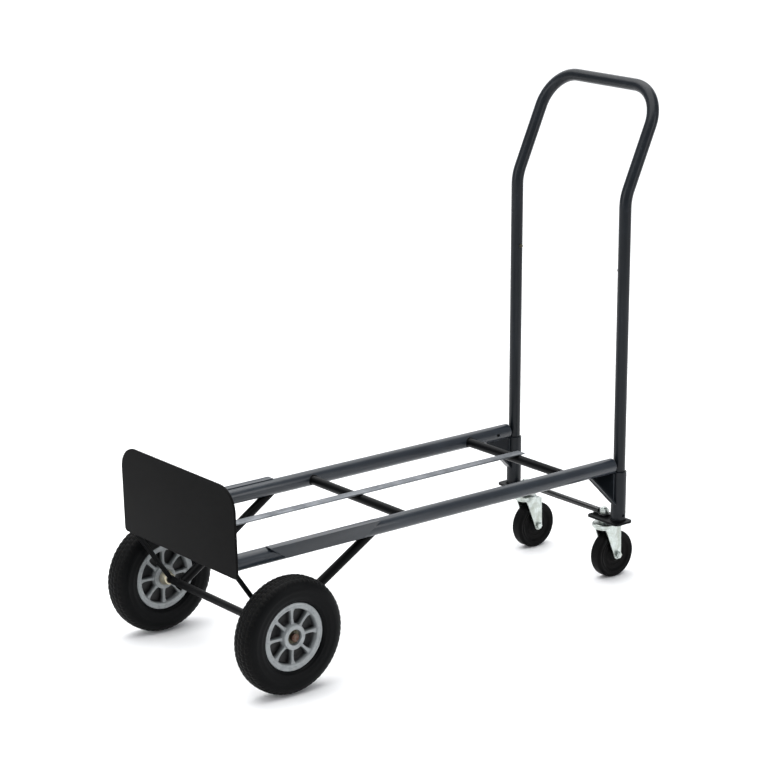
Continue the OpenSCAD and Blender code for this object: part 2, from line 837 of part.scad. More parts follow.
// Leaf spring folded into a V, its open end behind the button
module button_spring(side) {
    front = button_flange_at - button_flange_t - end_gap;
    color(zinc) at_button(side) translate([leaf_w / 2, 0, 0]) rotate([90, 0, -90])
        mirror([1, 0]) linear_extrude(leaf_w) polygon([
            [leaf_back, leaf_above], [leaf_back + leaf_t, leaf_above], [0, leaf_t - leaf_below + 2],
            [front - leaf_t, leaf_above], [front, leaf_above], [leaf_t, -leaf_below], [-leaf_t, -leaf_below]
        ]);
}

// ---- Nodes ----

rail(-1);  // rail_left
rail(1);  // rail_right
rail_guard(-1);  // rail_guard_left
rail_guard(1);  // rail_guard_right
toe_plate();
cross_tube(cross_front_x);  // cross_tube_front
cross_tube(cross_rear_x);  // cross_tube_rear
bed_strip();
rear_strut(-1);  // rear_strut_left
rear_strut(1);  // rear_strut_right
front_strut(-1);  // front_strut_left
front_strut(1);  // front_strut_right
axle();
axle_collars();
axle_washers();
cotter_pins();
socket(-1);  // socket_left
socket(1);  // socket_right
gusset(-1);  // gusset_left
gusset(1);  // gusset_right
mount_plate(-1);  // mount_plate_left
mount_plate(1);  // mount_plate_right
tie_rod();
stem_nuts();
caster_stem(-1);  // caster_stem_left
caster_stem(1);  // caster_stem_right
race_cap(-1);  // race_cap_left
race_cap(1);  // race_cap_right
handle_tube();
handle_plugs();
button_spring(-1);  // button_spring_left
button_spring(1);  // button_spring_right
snap_button(-1);  // snap_button_left
snap_button(1);  // snap_button_right
tyre(-1);  // tyre_left
tyre(1);  // tyre_right
hub(-1);  // hub_left
hub(1);  // hub_right
hub_bushes(-1);  // hub_bushes_left
hub_bushes(1);  // hub_bushes_right
fork(-1);  // fork_left
fork(1);  // fork_right
ball_ring(-1);  // ball_ring_left
ball_ring(1);  // ball_ring_right
caster_sleeve(-1);  // caster_sleeve_left
caster_sleeve(1);  // caster_sleeve_right
caster_bolt(-1);  // caster_bolt_left
caster_bolt(1);  // caster_bolt_right
caster_nut(-1);  // caster_nut_left
caster_nut(1);  // caster_nut_right
caster_tread(-1);  // caster_tread_left
caster_tread(1);  // caster_tread_right
caster_core(-1);  // caster_core_left
caster_core(1);  // caster_core_right
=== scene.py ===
# %% [markdown]
# # A convertible hand truck, standing as a platform cart
#
# Two long rails carry a toe plate at the front and a tall bent handle at the back. Two big
# wheels turn on a dead axle under the toe plate and two small casters swivel under the handle.
# The engineering model is already exact, so it is loaded first and nothing in it is moved:
# every piece made here is placed from it and rides on one of its bodies. A piece could also be
# matched by eye, but then it would drift off its joint as soon as a wheel turned.

# %% Load the frame and keep its box
import json
import math

import bmesh
import bpy
from mathutils import Matrix, Vector

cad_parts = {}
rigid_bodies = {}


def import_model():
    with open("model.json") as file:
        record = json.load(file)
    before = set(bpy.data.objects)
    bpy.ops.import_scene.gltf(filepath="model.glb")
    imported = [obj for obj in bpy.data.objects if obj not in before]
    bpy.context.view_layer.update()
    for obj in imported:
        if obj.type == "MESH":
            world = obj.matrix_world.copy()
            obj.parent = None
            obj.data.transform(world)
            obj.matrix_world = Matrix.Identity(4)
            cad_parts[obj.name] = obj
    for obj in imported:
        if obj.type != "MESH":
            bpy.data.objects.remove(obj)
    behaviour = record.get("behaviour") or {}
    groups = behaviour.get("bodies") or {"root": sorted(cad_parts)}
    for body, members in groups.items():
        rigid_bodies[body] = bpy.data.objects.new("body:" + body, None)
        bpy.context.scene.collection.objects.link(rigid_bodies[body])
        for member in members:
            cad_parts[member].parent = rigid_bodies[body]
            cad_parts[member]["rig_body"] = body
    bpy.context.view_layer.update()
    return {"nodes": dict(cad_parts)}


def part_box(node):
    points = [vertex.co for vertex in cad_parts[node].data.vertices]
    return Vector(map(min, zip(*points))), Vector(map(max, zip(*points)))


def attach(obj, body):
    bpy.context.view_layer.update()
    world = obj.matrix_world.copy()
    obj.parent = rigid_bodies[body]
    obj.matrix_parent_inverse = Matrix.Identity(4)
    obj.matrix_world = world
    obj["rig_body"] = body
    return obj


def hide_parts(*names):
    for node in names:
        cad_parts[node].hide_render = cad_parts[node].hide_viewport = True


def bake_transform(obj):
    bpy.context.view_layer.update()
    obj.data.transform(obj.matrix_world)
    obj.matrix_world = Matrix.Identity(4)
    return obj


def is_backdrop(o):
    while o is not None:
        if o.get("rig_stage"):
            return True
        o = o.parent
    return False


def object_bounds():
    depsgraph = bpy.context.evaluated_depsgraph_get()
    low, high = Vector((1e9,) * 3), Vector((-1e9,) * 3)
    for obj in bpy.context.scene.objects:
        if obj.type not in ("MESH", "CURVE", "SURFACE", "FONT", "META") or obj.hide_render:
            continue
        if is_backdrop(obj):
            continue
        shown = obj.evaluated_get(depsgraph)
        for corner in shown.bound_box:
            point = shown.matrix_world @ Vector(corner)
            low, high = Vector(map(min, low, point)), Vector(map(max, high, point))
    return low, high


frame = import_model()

scene = bpy.context.scene
nodes = frame["nodes"]
MM = 0.001

# %% [markdown]
# ## Where things are
#
# The frame gives each node's box. A round tube's axis is the middle of its box, so the places
# of the rails, legs, axle and casters are read off instead of typed in. Left is -Y.

# %% Read the main places off the frame
SIDES = {"left": -1, "right": 1}


def middle(node):
    low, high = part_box(node)
    return (low + high) / 2


rail_low, rail_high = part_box("rail_left")
RAIL_R = (rail_high.y - rail_low.y) / 2
RAIL_Y = -middle("rail_left").y
RAIL_Z = middle("rail_left").z
RAIL_FRONT, RAIL_REAR = rail_low.x, rail_high.x
wheel_low, wheel_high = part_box("tyre_left")
WHEEL = middle("tyre_left")
WHEEL_R = (wheel_high.z - wheel_low.z) / 2
WHEEL_HALF = (wheel_high.y - wheel_low.y) / 2
caster_low, caster_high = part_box("caster_tread_left")
CASTER = middle("caster_tread_left")
CASTER_R = (caster_high.z - caster_low.z) / 2
CASTER_HALF = (caster_high.y - caster_low.y) / 2
LEG_X = middle("socket_left").x
print("rails:", round(RAIL_R / MM, 2), "mm radius,", round(2 * RAIL_Y / MM), "mm apart")
print("wheels:", round(WHEEL_R / MM), "mm radius; casters:", round(CASTER_R / MM, 1), "mm radius")

# %% [markdown]
# ## Camera
#
# A hand truck is best seen from its front left corner, a little above, through a long lens, so
# that the two rails stay nearly parallel. Two angles give the bearing and the height of the
# camera round the truck, and the third its small roll. Typing in a place and a rotation would
# work too, but then a new distance would mean new numbers everywhere.

# %% Place the camera
BEARING, HEIGHT, ROLL = math.radians(-38.774), math.radians(15.463), math.radians(-0.101)
LOOK_AT = Vector((-0.0701, -0.0329, 0.4990))
DISTANCE = 5.05
back = Vector((
    math.sin(BEARING) * math.cos(HEIGHT),
    -math.cos(BEARING) * math.cos(HEIGHT),
    math.sin(HEIGHT),
))
camera_data = bpy.data.cameras.new("camera")
camera_data.sensor_width = 36
camera_data.lens = 119.39
camera_data.clip_end = 200
camera = bpy.data.objects.new("camera", camera_data)
scene.collection.objects.link(camera)
camera.rotation_mode = "QUATERNION"
camera.location = LOOK_AT + back * DISTANCE
camera.rotation_quaternion = (
    Matrix.Rotation(ROLL, 3, back) @ back.to_track_quat("Z", "Y").to_matrix()
).to_quaternion()
scene.camera = camera
print("camera at", [round(v, 3) for v in camera.location], "lens", camera_data.lens, "mm")

# %% [markdown]
# ## Shader maths as ordinary Python
#
# A finish is a sum of small effects: mottling, orange peel, worn edges. Wiring each Math node by
# hand hides the idea, so one class wraps an output socket and turns `1 - mask * 0.5` into nodes.
# Colours never pass through a Math node, which would turn them grey; they are blended.

# %% A socket that does arithmetic
class Socket:
    """One output of a shader node. Arithmetic on it adds Math nodes to the same finish."""

    def __init__(self, finish, output):
        self.finish = finish
        self.output = output

    def maths(self, operation, first, second):
        return self.finish.node("ShaderNodeMath", {"operation": operation}, {0: first, 1: second})

    def __add__(self, other):
        return self.maths("ADD", self, other)

    __radd__ = __add__

    def __mul__(self, other):
        return self.maths("MULTIPLY", self, other)

    __rmul__ = __mul__

    def __sub__(self, other):
        return self.maths("SUBTRACT", self, other)

    def __rsub__(self, other):
        return self.maths("SUBTRACT", other, self)

    def __abs__(self):
        return self.finish.node("ShaderNodeMath", {"operation": "ABSOLUTE"}, {0: self})


# %% A finish under construction
def linear(code):
    """A colour written as six hex digits, turned into the linear values that shaders use."""
    channels = [int(code[i:i + 2], 16) / 255 for i in (0, 2, 4)]
    linears = [c / 12.92 if c <= 0.04045 else ((c + 0.055) / 1.055) ** 2.4 for c in channels]
    return (*linears, 1)


class Finish:
    """A material with one Principled shader, called skin, and helpers that add nodes to it."""

    def __init__(self, name, **constants):
        self.material = bpy.data.materials.new(name)
        self.material.use_nodes = True
        self.tree = self.material.node_tree
        self.tree.nodes.clear()
        self.skin = self.tree.nodes.new("ShaderNodeBsdfPrincipled")
        out = self.tree.nodes.new("ShaderNodeOutputMaterial")
        self.tree.links.new(self.skin.outputs[0], out.inputs[0])
        for name_, value in constants.items():
            self.skin.inputs[name_.replace("_", " ")].default_value = value
        self.place = self.node("ShaderNodeTexCoord", output="Object")

    def node(self, kind, settings=None, sockets=None, output=0):
        """Any node: its type, its settings, what its sockets hold, and the output to use."""
        made = self.tree.nodes.new(kind)
        for name, value in (settings or {}).items():
            if name == "stops":
                ramp = made.color_ramp.elements
                while len(ramp) < len(value):
                    ramp.new(0.5)
                for element, (position, shade) in zip(ramp, value):
                    element.position = position
                    element.color = (shade, shade, shade, 1)
            else:
                setattr(made, name, value)
        for key, value in (sockets or {}).items():
            self.feed(made.inputs[key], value)
        return Socket(self, made.outputs[output])

    def feed(self, target, value):
        if isinstance(value, Socket):
            self.tree.links.new(value.output, target)
        else:
            target.default_value = value

    def set(self, **inputs):
        for name, value in inputs.items():
            self.feed(self.skin.inputs[name.replace("_", " ")], value)

    def blend(self, first, second, factor):
        """Colour first where factor is 0 and second where it is 1."""
        return self.node(
            "ShaderNodeMix", {"data_type": "RGBA"}, {0: factor, 6: first, 7: second}, 2
        )

    def vectors(self, operation, first, second=(0, 0, 0), output=0):
        return self.node(
            "ShaderNodeVectorMath", {"operation": operation}, {0: first, 1: second}, output
        )

    def stretched(self, scale):
        return self.node("ShaderNodeMapping", {}, {"Vector": self.place, "Scale": scale})

    def noise(self, scale, detail=3, rough=0.55, place=None):
        return self.node(
            "ShaderNodeTexNoise", {},
            {"Vector": place or self.place, "Scale": scale, "Detail": detail, "Roughness": rough},
        )

    def ramp(self, value, *stops):
        return self.node("ShaderNodeValToRGB", {"stops": stops}, {0: value})

    def edges(self, radius):
        """1 on corners sharper than radius, 0 on flat ground."""
        rounded = self.node("ShaderNodeBevel", {"samples": 4}, {"Radius": radius})
        straight = self.node("ShaderNodeNewGeometry", output="Normal")
        agree = self.vectors("DOT_PRODUCT", rounded, straight, "Value")
        return self.ramp(1 - agree, (0.02, 0), (0.25, 1))

    def bump(self, height, distance):
        return self.node("ShaderNodeBump", {}, {"Height": height, "Distance": distance})

    def along(self, axis):
        """The X, Y or Z place on the piece, in metres."""
        return self.node("ShaderNodeSeparateXYZ", {}, {0: self.place}, axis)

    def report(self):
        print("finish:", self.material.name, "with", len(self.tree.nodes), "nodes")
        return self.material


# %% [markdown]
# ## Powder coat
#
# The rails, guards, sockets and handle are sprayed with slate blue powder and baked. Baked powder
# is smooth but never flat: it has orange peel about a millimetre across, it thins on edges, and
# handling leaves duller patches. One recipe makes both paints, because the black of the struts
# and the toe plate is the same process with another powder. The black ones reflect much less:
# in a white room a full shine would lift them to a mid grey. The handle, its sockets and the
# gussets get a darker copy of the slate: painted shade, since these upright parts catch less of
# the top light than the rails. The tie rod is black with a full gloss.

# %% Slate and black powder coats
def powder_coat(name, colour, thin, scuff, roughness, peel, coat, shine):
    paint = Finish(name, Coat_Weight=coat, Coat_Roughness=0.12, Specular_IOR_Level=shine)
    cloud = paint.noise(9, 4)
    grain = paint.noise(420, 2)
    worn = paint.edges(1.6 * MM) * paint.ramp(paint.noise(55, 5, 0.7), (0.42, 0), (0.62, 1))
    drag = paint.noise(1, 4, 0.7, paint.stretched((14, 160, 160)))
    rubbed = paint.ramp(drag, (0.58, 0), (0.72, 1)) * paint.ramp(cloud, (0.45, 0), (0.65, 1))
    shade = paint.blend(linear(colour), linear(thin), paint.ramp(cloud, (0.3, 0), (0.75, 1)))
    shade = paint.blend(shade, linear(scuff), rubbed * 0.22)
    shade = paint.blend(shade, linear(scuff), worn * 0.75)
    paint.set(
        Base_Color=shade,
        Roughness=cloud * 0.16 + rubbed * 0.12 + worn * 0.1 + (roughness - 0.08),
        Normal=paint.bump(grain * 0.6 + paint.noise(1300, 1) * 0.4, peel),
    )
    return paint.report()


slate_coat = powder_coat("slate_coat", "1a1f25", "242a31", "59626b", 0.32, 0.10 * MM, 0.15, 0.34)
# A darker copy of the slate coat: painted shade for the upright parts, which catch less of the top
# light.
shaded_slate = powder_coat(
    "shaded_slate_coat", "0f1317", "171b20", "464e56", 0.32, 0.10 * MM, 0.06, 0.18
)
black_coat = powder_coat("black_coat", "040405", "090a0b", "2c2e30", 0.36, 0.08 * MM, 0.0, 0.07)
plate_coat = powder_coat("plate_coat", "0c0c0c", "121212", "2e2e2f", 0.50, 0.12 * MM, 0.0, 0.03)
rod_coat = powder_coat("rod_coat", "0b0c0c", "151616", "55575a", 0.24, 0.05 * MM, 0.0, 0.5)

# %% [markdown]
# ## Bare and plated metal
#
# The bed strip is galvanised strip, drawn through rollers, so its marks run along its length.
# The caster forks, nuts, washers and balls are bright zinc plate with faint dull blooms. The
# flanged bushes in the wheels are oil-soaked bronze, dark where the oil has gathered dust.

# %% Strip steel, zinc and bronze
def drawn_metal(name, bright, dull, roughness, stretch, bloom_scale, stain, stain_share):
    metal = Finish(name, Metallic=1.0)
    drawn = metal.noise(1, 5, 0.7, metal.stretched(stretch))
    bloom = metal.noise(bloom_scale, 4, 0.65)
    patch = metal.ramp(bloom, (0.4, 0), (0.68, 1))
    shade = metal.blend(linear(bright), linear(dull), drawn * 0.6 + patch * 0.4)
    shade = metal.blend(shade, linear(stain), patch * stain_share)
    edge = metal.edges(0.8 * MM)
    shade = metal.blend(shade, linear("f2f3f4"), edge * 0.35)
    metal.set(
        Base_Color=shade,
        Roughness=drawn * 0.14 + patch * 0.14 + (roughness - 0.12) - edge * 0.05,
        Normal=metal.bump(drawn * 0.7 + metal.noise(900, 2) * 0.3, 0.06 * MM),
    )
    return metal.report()


strip_metal = drawn_metal(
    "galvanised_strip", "84878b", "606468", 0.46, (9, 700, 700), 34, "484b4f", 0.5
)
zinc_plate = drawn_metal(
    "zinc_plate", "cfd6d3", "9fa8a4", 0.33, (240, 240, 60), 70, "8f8d72", 0.3
)
collar_zinc = drawn_metal(
    "yellow_zinc", "f1ecda", "d6cdae", 0.36, (240, 60, 240), 80, "a5966c", 0.3
)
oily_steel = drawn_metal(
    "oily_steel", "5d5a4c", "3b392f", 0.40, (240, 60, 240), 150, "17150f", 0.7
)
bush_bronze = drawn_metal(
    "oiled_bronze", "8d6a47", "59432e", 0.42, (300, 60, 300), 150, "231a12", 0.8
)

# %% [markdown]
# The axle is one bar, painted black between the wheels and left as bare steel, with a little
# rust, where they run. Two materials would need a seam in the mesh. Instead the finish asks how
# far out along Y it is, which costs one ramp.

# %% Axle: painted bar with bare ends
PAINT_ENDS = 180 * MM
axle = Finish("axle_bar", Specular_IOR_Level=0.14)
bare = axle.ramp(abs(axle.along("Y")), (PAINT_ENDS, 0), (PAINT_ENDS + 2 * MM, 1))
rust = axle.ramp(axle.noise(130, 5, 0.7), (0.42, 0), (0.62, 1))
steel = axle.blend(linear("5e524a"), linear("4c2416"), rust)
paint_shade = axle.blend(linear("050506"), linear("0d0e0f"), axle.noise(20))
axle.set(
    Base_Color=axle.blend(paint_shade, steel, bare),
    Metallic=bare * 0.85,
    Roughness=0.42 + rust * 0.2 * bare + axle.noise(90) * 0.1,
    Normal=axle.bump(axle.noise(500, 2), 0.08 * MM),
)
axle_bar = axle.report()

# %% [markdown]
# ## Rubber and plastic
#
# Tyre rubber is charcoal, never pure black: it greys where it is scrubbed and holds pale dust
# in its grooves. The dust follows the radius, so the tread band gets more than the side walls.
# The hubs are moulded in light grey with a fine grain, and the plugs and caster cores in black.
# The pockets between the spokes carry painted shade: the hub's colour darkens towards its middle
# plane, however the wheel has turned.

# %% Tyre rubber, by radius
def rubber(name, axis_place, tread_from, tread_to, colour, scrubbed, dust, roughness, grain):
    tyre = Finish(name, Specular_IOR_Level=0.07)
    from_axle = tyre.vectors("SUBTRACT", tyre.place, axis_place)
    flat = tyre.vectors("MULTIPLY", from_axle, (1, 0, 1))
    radius = tyre.vectors("LENGTH", flat, output="Value")
    tread = tyre.ramp(radius, (tread_from, 0), (tread_to, 1))
    cloud = tyre.noise(26, 5, 0.65)
    speck = tyre.ramp(tyre.noise(340, 4, 0.75), (0.5, 0), (0.72, 1))
    shade = tyre.blend(linear(colour), linear(scrubbed), cloud)
    shade = tyre.blend(shade, linear(dust), tread * speck * 0.55)
    shade = tyre.blend(shade, linear(scrubbed), tyre.edges(1.2 * MM) * 0.5)
    tyre.set(
        Base_Color=shade,
        Roughness=cloud * 0.2 + tread * 0.16 + (roughness - 0.1),
        Normal=tyre.bump(tyre.noise(700, 3) * 0.7 + cloud * 0.3, grain),
    )
    return tyre.report()


tyre_rubber = rubber(
    "tyre_rubber", (WHEEL.x, 0, WHEEL.z), 0.86 * WHEEL_R, 0.97 * WHEEL_R,
    "030404", "08090b", "28241e", 0.38, 0.16 * MM,
)
caster_rubber = rubber(
    "caster_tread_rubber", (CASTER.x, 0, CASTER.z), 0.86 * CASTER_R, 0.99 * CASTER_R,
    "030303", "070708", "1b1917", 0.40, 0.08 * MM,
)


# %% Moulded plastics
def moulded(name, colour, pale, dirt, roughness, dirt_share, shine, pocket_shade_at=None):
    plastic = Finish(name, Specular_IOR_Level=shine)
    cloud = plastic.noise(32, 4)
    smear = plastic.ramp(plastic.noise(85, 5, 0.7), (0.46, 0), (0.7, 1))
    edge = plastic.edges(1.0 * MM)
    shade = plastic.blend(linear(colour), linear(pale), cloud)
    shade = plastic.blend(shade, linear(dirt), smear * dirt_share)
    shade = plastic.blend(shade, linear(pale), edge * 0.6)
    if pocket_shade_at:
        # Painted shade: the colour goes near black deep in the pockets, near the hub's middle
        # plane.
        off_middle = abs(abs(plastic.along("Y")) - pocket_shade_at)
        painted_pocket_shade = plastic.ramp(off_middle + smear * (2 * MM), (6 * MM, 1), (13.5 * MM, 0))
        shade = plastic.blend(shade, linear("050607"), painted_pocket_shade)
    plastic.set(
        Base_Color=shade,
        Roughness=smear * 0.12 + cloud * 0.1 + (roughness - 0.05) - edge * 0.06,
        Normal=plastic.bump(plastic.noise(1100, 2), 0.05 * MM),
    )
    return plastic.report()


# The hub gets painted shade in its pockets, towards its middle plane.
hub_grey = moulded("hub_grey", "85898a", "a0a4a5", "505355", 0.42, 0.45, 0.4, -WHEEL.y)
plug_black = moulded("plug_black", "060606", "0c0c0c", "191817", 0.45, 0.4, 0.06)

# %% [markdown]
# ## Making pieces
#
# Everything on the truck is a sheet, a tube or something turned on a lathe. Three helpers cover
# that: `turned` spins a profile, `tube` sweeps a hollow ring along a path, and `softened` takes a
# flat CAD part and rolls its sharp edges over by a fraction of a millimetre, as stamping and
# painting do. A bare primitive has none of that, and its edges never catch the light.

# %% Turn a mesh into a piece that rides on a body
def piece(name, bm, finish, body, stands_for=(), crease=32):
    """A mesh made into a named piece."""
    mesh = bpy.data.meshes.new(name)
    bmesh.ops.recalc_face_normals(bm, faces=bm.faces)
    bm.to_mesh(mesh)
    bm.free()
    mesh.materials.append(finish)
    mesh.shade_smooth()
    mesh.set_sharp_from_angle(angle=math.radians(crease))
    made = bpy.data.objects.new(name, mesh)
    scene.collection.objects.link(made)
    if body:
        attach(made, body)
    if stands_for:
        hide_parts(*stands_for)
    return made


# %% Join rings of points into a skin
def angles(steps):
    """One full turn in equal steps, in radians."""
    return [2 * math.pi * i / steps for i in range(steps)]


def join(bm, rings):
    """Quads from each ring to the next; each ring is closed on itself."""
    for low, high in zip(rings, rings[1:]):
        for i in range(len(low)):
            j = (i + 1) % len(low)
            bm.faces.new((low[i], low[j], high[j], high[i]))


def skin_rings(bm, rings, closed_along=False):
    """A skin over rings of points. Closed along, its last ring joins the first."""
    grid = [[bm.verts.new(p) for p in ring] for ring in rings]
    join(bm, grid + grid[:1] if closed_along else grid)
    return grid


def cap(bm, grid):
    """Closes both ends of a skin."""
    bm.faces.new(grid[0])
    bm.faces.new(grid[-1])


def across(direction):
    """Two unit vectors at right angles to a direction and to each other."""
    direction = direction.normalized()
    other = Vector((0, 0, 1)) if abs(direction.z) < 0.9 else Vector((1, 0, 0))
    first = direction.cross(other).normalized()
    return first, direction.cross(first).normalized()


def turned(bm, profile, centre, direction, steps=96, closed=True):
    """Spins (radius, along) pairs about a line. A closed profile makes a ring."""
    direction = direction.normalized()
    first, second = across(direction)
    rings = []
    for radius, along in profile:
        ring = []
        for angle in angles(steps):
            spoke = first * math.cos(angle) + second * math.sin(angle)
            ring.append(centre + direction * along + spoke * radius)
        rings.append(ring)
    grid = skin_rings(bm, rings, closed)
    if not closed:
        cap(bm, grid)


def rounded(profile, radius, steps=4):
    """Replaces each corner of a closed (radius, along) profile with a small arc."""
    points = [Vector(p) for p in profile]
    out = []
    for i, corner in enumerate(points):
        before, after = points[i - 1] - corner, points[(i + 1) % len(points)] - corner
        reach = min(radius, 0.45 * before.length, 0.45 * after.length)
        start, end = corner + before.normalized() * reach, corner + after.normalized() * reach
        for k in range(steps + 1):
            t = k / steps
            out.append(tuple(start * (1 - t) ** 2 + corner * 2 * t * (1 - t) + end * t ** 2))
    return out


# %% Sweep a ring along a bent path
def bent_path(corners, radii, step=math.radians(3)):
    """Points along straight runs joined by arcs; radii has one value for each inner corner."""
    path = [corners[0]]
    for i, radius in enumerate(radii, 1):
        here = corners[i]
        arrive, leave = (here - corners[i - 1]).normalized(), (corners[i + 1] - here).normalized()
        turn = arrive.angle(leave)
        reach = radius * math.tan(turn / 2)
        start = here - arrive * reach
        inward = (leave - arrive * arrive.dot(leave)).normalized()
        count = max(2, round(turn / step))
        for k in range(count + 1):
            a = turn * k / count
            forward, aside = radius * math.sin(a), radius * (1 - math.cos(a))
            path.append(start + arrive * forward + inward * aside)
    path.append(corners[-1])
    return path


def sweep(bm, path, ring_of, closed=False):
    """Carries ring_of(index, first, second) along the path without twisting it."""
    rings = []
    first = None
    for i, point in enumerate(path):
        if closed:
            heading = path[(i + 1) % len(path)] - path[i - 1]
        else:
            heading = path[min(i + 1, len(path) - 1)] - path[max(i - 1, 0)]
        heading.normalize()
        if first is None:
            first, _ = across(heading)
        first = (first - heading * first.dot(heading)).normalized()
        rings.append([point + offset for offset in ring_of(i, first, heading.cross(first))])
    return skin_rings(bm, rings, closed)


def round_ring(radius, steps):
    """A ring_of for sweep: the same circle at every point of the path."""
    def ring_of(i, u, v):
        return [u * radius * math.cos(a) + v * radius * math.sin(a) for a in angles(steps)]

    return ring_of


def tube(bm, path, outer, inner, steps, lip):
    """A hollow tube with rolled rims. Its two skins are joined at the ends."""
    outside = sweep(bm, path, round_ring(outer, steps))
    inside = sweep(bm, path, round_ring(inner, steps))
    for last, step in ((0, 1), (-1, -2)):
        heading = (path[last] - path[step]).normalized()
        centre = path[last]
        rings = [outside[last]]
        for share in (0.35, 0.7, 1.0):
            radius = outer - lip * (1 - math.cos(math.pi / 2 * share))
            set_back = heading * lip * (1 - math.sin(math.pi / 2 * share))
            rings.append([
                bm.verts.new(centre + (v.co - centre).normalized() * radius - set_back)
                for v in outside[last]
            ])
        for v in outside[last] + inside[last]:
            v.co -= heading * lip
        for v in inside[last]:
            v.co += heading * lip
        join(bm, rings + [inside[last]])


# %% Soften the edges of a CAD part
SAME_POINT = 0.004 * MM
SAME_FACE = math.radians(0.4)
SHARP_EDGE = math.radians(35)
VOLUME_SLACK = 0.06


def copy_of(node):
    """A CAD node's mesh, with the points that its faces share joined up."""
    bm = bmesh.new()
    bm.from_mesh(nodes[node].data)
    bmesh.ops.remove_doubles(bm, verts=bm.verts, dist=SAME_POINT)
    return bm


def finish_cad(finish, *names):
    """A CAD node whose shape is already right keeps it and gets a better finish."""
    for name in names:
        mesh = nodes[name].data
        mesh.materials.clear()
        mesh.materials.append(finish)
    print("refinished:", ", ".join(names))


def softened(node, finish, amount, segments=2):
    """A copy of a CAD node whose sharp edges are rolled over. Flat parts take it best."""
    bm = copy_of(node)
    before = bm.calc_volume(signed=False)
    bmesh.ops.dissolve_limit(
        bm, angle_limit=SAME_FACE, verts=bm.verts, edges=bm.edges, use_dissolve_boundaries=False
    )
    sharp = [
        e for e in bm.edges if len(e.link_faces) == 2 and e.calc_face_angle(0) > SHARP_EDGE
    ]
    bmesh.ops.bevel(
        bm, geom=sharp, offset=amount, offset_type="OFFSET", segments=segments,
        profile=0.6, affect="EDGES", clamp_overlap=True,
    )
    after = bm.calc_volume(signed=False)
    open_edges = sum(not e.is_manifold for e in bm.edges)
    if open_edges or abs(after - before) > VOLUME_SLACK * before:
        print("kept as CAD:", node, "open edges", open_edges, "volume", round(after / before, 3))
        bm.free()
        finish_cad(finish, node)
    else:
        piece(node + "_skin", bm, finish, nodes[node]["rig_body"], (node,))


# %% [markdown]
# ## Floor and light
#
# A plain pale floor runs far behind the truck, so no wall is needed. The light is that of a
# white studio tent: a large soft panel above, a tall one in front of the toe plate and one at
# the side that draw the pale bands down the tubes, a wide one over the floor behind, and a dim
# grey room. Small lamps would give hard shadows and hot spots.

# %% Floor
floor_mesh = bpy.data.meshes.new("floor")
bm = bmesh.new()
bmesh.ops.create_grid(bm, x_segments=2, y_segments=2, size=40)
bm.to_mesh(floor_mesh)
bm.free()
floor = bpy.data.objects.new("floor", floor_mesh)
scene.collection.objects.link(floor)
floor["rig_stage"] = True
paper = Finish("paper", Roughness=0.9)
paper.set(Base_Color=paper.blend(linear("f4f4f4"), linear("f7f7f7"), paper.noise(3)))
floor_mesh.materials.append(paper.report())

# %% Room and soft panels
world = bpy.data.worlds.new("room")
scene.world = world
world.use_nodes = True
world.node_tree.nodes["Background"].inputs["Color"].default_value = (0.82, 0.85, 0.9, 1)
world.node_tree.nodes["Background"].inputs["Strength"].default_value = 0.5


def soft_panel(name, place, aim, width, height, watts):
    lamp = bpy.data.lights.new(name, "AREA")
    lamp.shape = "RECTANGLE"
    lamp.size, lamp.size_y, lamp.energy = width, height, watts
    panel = bpy.data.objects.new(name, lamp)
    scene.collection.objects.link(panel)
    panel.location = place
    panel.rotation_mode = "QUATERNION"
    panel.rotation_quaternion = (Vector(aim) - Vector(place)).to_track_quat("-Z", "Y")
    print("panel:", name, width, "x", height, "m,", watts, "W")


soft_panel("top_panel", (-0.3, 0.2, 3.6), (0, 0, 0), 4.5, 4.5, 190)
soft_panel("front_panel", (-3.4, 0.6, 1.7), (0, 0, 0.5), 1.4, 2.2, 42)
soft_panel("side_panel", (1.6, -3.6, 1.5), (0.1, 0, 0.5), 0.9, 2.2, 30)
soft_panel("back_panel", (6.5, 8.5, 5.5), (6.5, 8.5, 0), 15, 15, 900)
scene.view_settings.view_transform = "Standard"

# %% [markdown]
# ## Rails
#
# Each rail is a welded steel tube, open at the back so that the handle can be pushed into it in
# the other mode, with its sawn rim rolled smooth and a hole for the snap button. The tube is
# swept with both its walls, and the hole is a true boolean cut: a dark decal would look wrong as
# soon as light went through it.

# %% A cut through a piece
def drilled(made, centre, direction, radius, depth):
    """Cuts a round hole and keeps the result as the piece's own mesh."""
    bm = bmesh.new()
    turned(bm, [(radius, -depth / 2), (radius, depth / 2)], centre, direction, 28, closed=False)
    bmesh.ops.recalc_face_normals(bm, faces=bm.faces)
    mesh = bpy.data.meshes.new("drill")
    bm.to_mesh(mesh)
    bm.free()
    drill = bpy.data.objects.new("drill", mesh)
    scene.collection.objects.link(drill)
    cut = made.modifiers.new("hole", "BOOLEAN")
    cut.object, cut.solver, cut.operation = drill, "EXACT", "DIFFERENCE"
    bpy.context.view_layer.update()
    shape = made.evaluated_get(bpy.context.evaluated_depsgraph_get())
    fresh = bpy.data.meshes.new_from_object(shape)
    made.modifiers.clear()
    old, made.data = made.data, fresh
    bpy.data.meshes.remove(old)
    bpy.data.objects.remove(drill)
    fresh.shade_smooth()
    fresh.set_sharp_from_angle(angle=math.radians(32))
    print("drilled", made.name, "to", len(fresh.vertices), "points")


